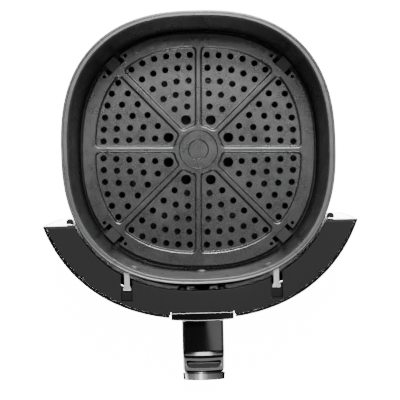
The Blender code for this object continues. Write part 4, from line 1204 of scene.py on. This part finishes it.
def makeHook(side, word):
    s = hook
    x, low = side * s["x"], s["top"] - s["thick"]
    start, _ = wallPoint(side * (s["x"] - s["half"]), s["top"], pan["wall"])
    flare, end = s["endY"] + s["flare"], s["endY"] - s["thick"]
    outline = ((-s["half"], start.y - 2 * s["gap"]), (-s["half"], flare), (-s["endHalf"], s["endY"]),
               (-s["endHalf"], end), (s["endHalf"], end), (s["endHalf"], s["endY"]),
               (s["half"], flare), (s["half"], start.y - 2 * s["gap"]))
    bm = bmesh.new()
    skinRings(bm, [[Vector((x + across, y, z)) for across, y in outline] for z in (low, s["top"])])
    bar = soften(meshPiece("hookBar_" + word, bm, zincSteel, 30.0), s["edge"])
    lip = soften(boxPiece("lip", (x - s["endHalf"], end, low - s["drop"]),
                          (x + s["endHalf"], s["endY"], low + mm)), s["edge"])
    rings = []
    for column in range(13):
        padX = side * s["padX"] + s["padWidth"] * (column / 12 - 0.5)
        ring = []
        for z, depth in ((s["top"] - s["padHeight"], 0.0), (s["top"] - s["padHeight"], s["thick"]),
                         (s["top"], s["thick"]), (s["top"], 0.0)):
            point, normal = wallPoint(padX, z, pan["wall"])
            ring.append(point + normal * (s["gap"] + depth))
        rings.append(ring)
    bm = bmesh.new()
    skinRings(bm, rings)
    pad = meshPiece("pad", bm)
    cutAway(bar, [lip, pad], 'UNION')
    point, normal = wallPoint(side * rivet["upperX"], pan["top"] - rivet["upperDrop"], 0.0)
    hole = turned("hole", point - normal * 2 * mm, point + normal,
                  ((0.0, 2.3 * mm), (10 * mm, 2.3 * mm)), 24)
    cutAway(bar, [hole])
    return place(bar, "drawer", "zinc_steel", "hook_bar_" + word)


def makeCatch(side, word):
    s = catch
    x = side * hook["x"]
    block = boxPiece("catchBlock_" + word, (x - s["half"], s["far"], s["top"] - s["deep"]),
                     (x + s["half"], s["near"], s["top"]))
    block.data.materials.append(mattePlastic)
    soften(block, s["edge"], 3)
    cutAway(block, [boxPiece("slot", (x - s["slotHalf"], s["slotFar"], 70 * mm),
                             (x + s["slotHalf"], s["slotNear"], 110 * mm))])
    return place(block, "drawer", "matte_plastic", "catch_block_" + word)


makeCover()
makeShell()
makeLiner()
makeBase()
makeGuides()
makeEndCaps()
print("front made")
makeHandle()
makeTrim()
makeThumbPad()
makeRoot()
softCopy("handleMount", "handle_mount", 0.8 * mm, mattePlastic, "drawer", "matte_plastic", 3)
for side, word in ((-1.0, "left"), (1.0, "right")):
    makeHook(side, word)
    makeCatch(side, word)
# the lower tab is zinc steel, painted near-black for the shade deep in the gap
softCopy("lowerTab", "lower_tab", 0.35 * mm, paintedShadeSteel, "drawer", "zinc_steel")
allScrews()
print("handle, hooks and screws made")


# stage, light and camera
studio = {"floorColour": (0.9, 0.9, 0.9), "glowNear": 15.0, "glowFar": 0.35, "glowFrom": 0.205,
          "glowTo": 0.36, "glowY": 47.7 * mm, "floorHalf": 4.0, "world": 0.03}
lamps = (   # name, place, size, power
    ("backKey", (0.1, 1.2, 2.0), (0.6, 0.4), 95.0),
    ("backHigh", (0.0, 0.75, 2.4), (0.8, 0.4), 14.0),
    ("frontTall", (0.0, -1.45, 1.65), (0.28, 1.2), 30.0),
    ("frontWide", (0.0, -1.9, 1.5), (3.0, 0.6), 14.0),
    ("leftStrip", (-1.6, 0.2, 1.6), (1.2, 0.2), 7.0),
    ("rightStrip", (1.6, 0.2, 1.6), (1.2, 0.2), 7.0),
    ("topRight", (0.46, -0.35, 2.6), (0.45, 0.6), 1.6),
)
camera = {"x": 0.32 * mm, "y": -47.7 * mm, "above": 1.4, "turn": radians(-1.45), "lens": 140.0}


def makeStage():
    bm = bmesh.new()
    half = studio["floorHalf"]
    bmesh.ops.create_grid(bm, x_segments=2, y_segments=2, size=half)
    floor = meshPiece("floor", bm)
    material = bpy.data.materials.new("paleFloor")
    material.use_nodes = True
    shader = material.node_tree.nodes["Principled BSDF"]
    shader.inputs["Base Color"].default_value = (*studio["floorColour"], 1.0)
    shader.inputs["Roughness"].default_value = 0.8
    shader.inputs["Emission Color"].default_value = (1.0, 1.0, 1.0, 1.0)
    nodes, links = material.node_tree.nodes, material.node_tree.links
    where, apart = nodes.new('ShaderNodeTexCoord'), nodes.new('ShaderNodeSeparateXYZ')

    def measure(operation, first, second=0.0):
        node = nodes.new('ShaderNodeMath')
        node.operation = operation
        for socket, value in zip(node.inputs, (first, second)):
            if isinstance(value, float):
                socket.default_value = value
            else:
                links.new(value, socket)
        return node.outputs["Value"]

    links.new(where.outputs["Object"], apart.inputs["Vector"])
    across = measure('ABSOLUTE', apart.outputs["X"])
    along = measure('ABSOLUTE', measure('ADD', apart.outputs["Y"], studio["glowY"]))
    fade = nodes.new('ShaderNodeMapRange')
    fade.interpolation_type = 'SMOOTHSTEP'
    fade.inputs["From Min"].default_value = studio["glowFrom"]
    fade.inputs["From Max"].default_value = studio["glowTo"]
    fade.inputs["To Min"].default_value = studio["glowNear"]
    fade.inputs["To Max"].default_value = studio["glowFar"]
    links.new(measure('MAXIMUM', across, along), fade.inputs["Value"])
    links.new(fade.outputs["Result"], shader.inputs["Emission Strength"])
    floor.data.materials.append(material)
    floor.location.z = -0.0005


def areaLight(name, where, size, power):
    lamp = bpy.data.lights.new(name, 'AREA')
    lamp.shape = 'RECTANGLE'
    lamp.size, lamp.size_y = size
    lamp.energy = power
    made = bpy.data.objects.new(name, lamp)
    made.location = where
    aim = Vector((0.0, 0.0, 0.05)) - Vector(where)
    made.rotation_euler = aim.to_track_quat('-Z', 'Y').to_euler()
    bpy.context.scene.collection.objects.link(made)


def makeLights():
    world = bpy.data.worlds.new("studio")
    world.use_nodes = True
    background = world.node_tree.nodes["Background"]
    background.inputs["Color"].default_value = (1.0, 1.0, 1.0, 1.0)
    background.inputs["Strength"].default_value = studio["world"]
    bpy.context.scene.world = world
    for lamp in lamps:
        areaLight(*lamp)


def makeCamera():
    data = bpy.data.cameras.new("camera")
    data.lens = camera["lens"]
    data.sensor_width = 36.0
    view = bpy.data.objects.new("camera", data)
    view.location = (camera["x"], camera["y"], pan["top"] + camera["above"])
    view.rotation_euler = (0.0, 0.0, camera["turn"])
    bpy.context.scene.collection.objects.link(view)
    bpy.context.scene.camera = view


makeStage()
makeLights()
makeCamera()
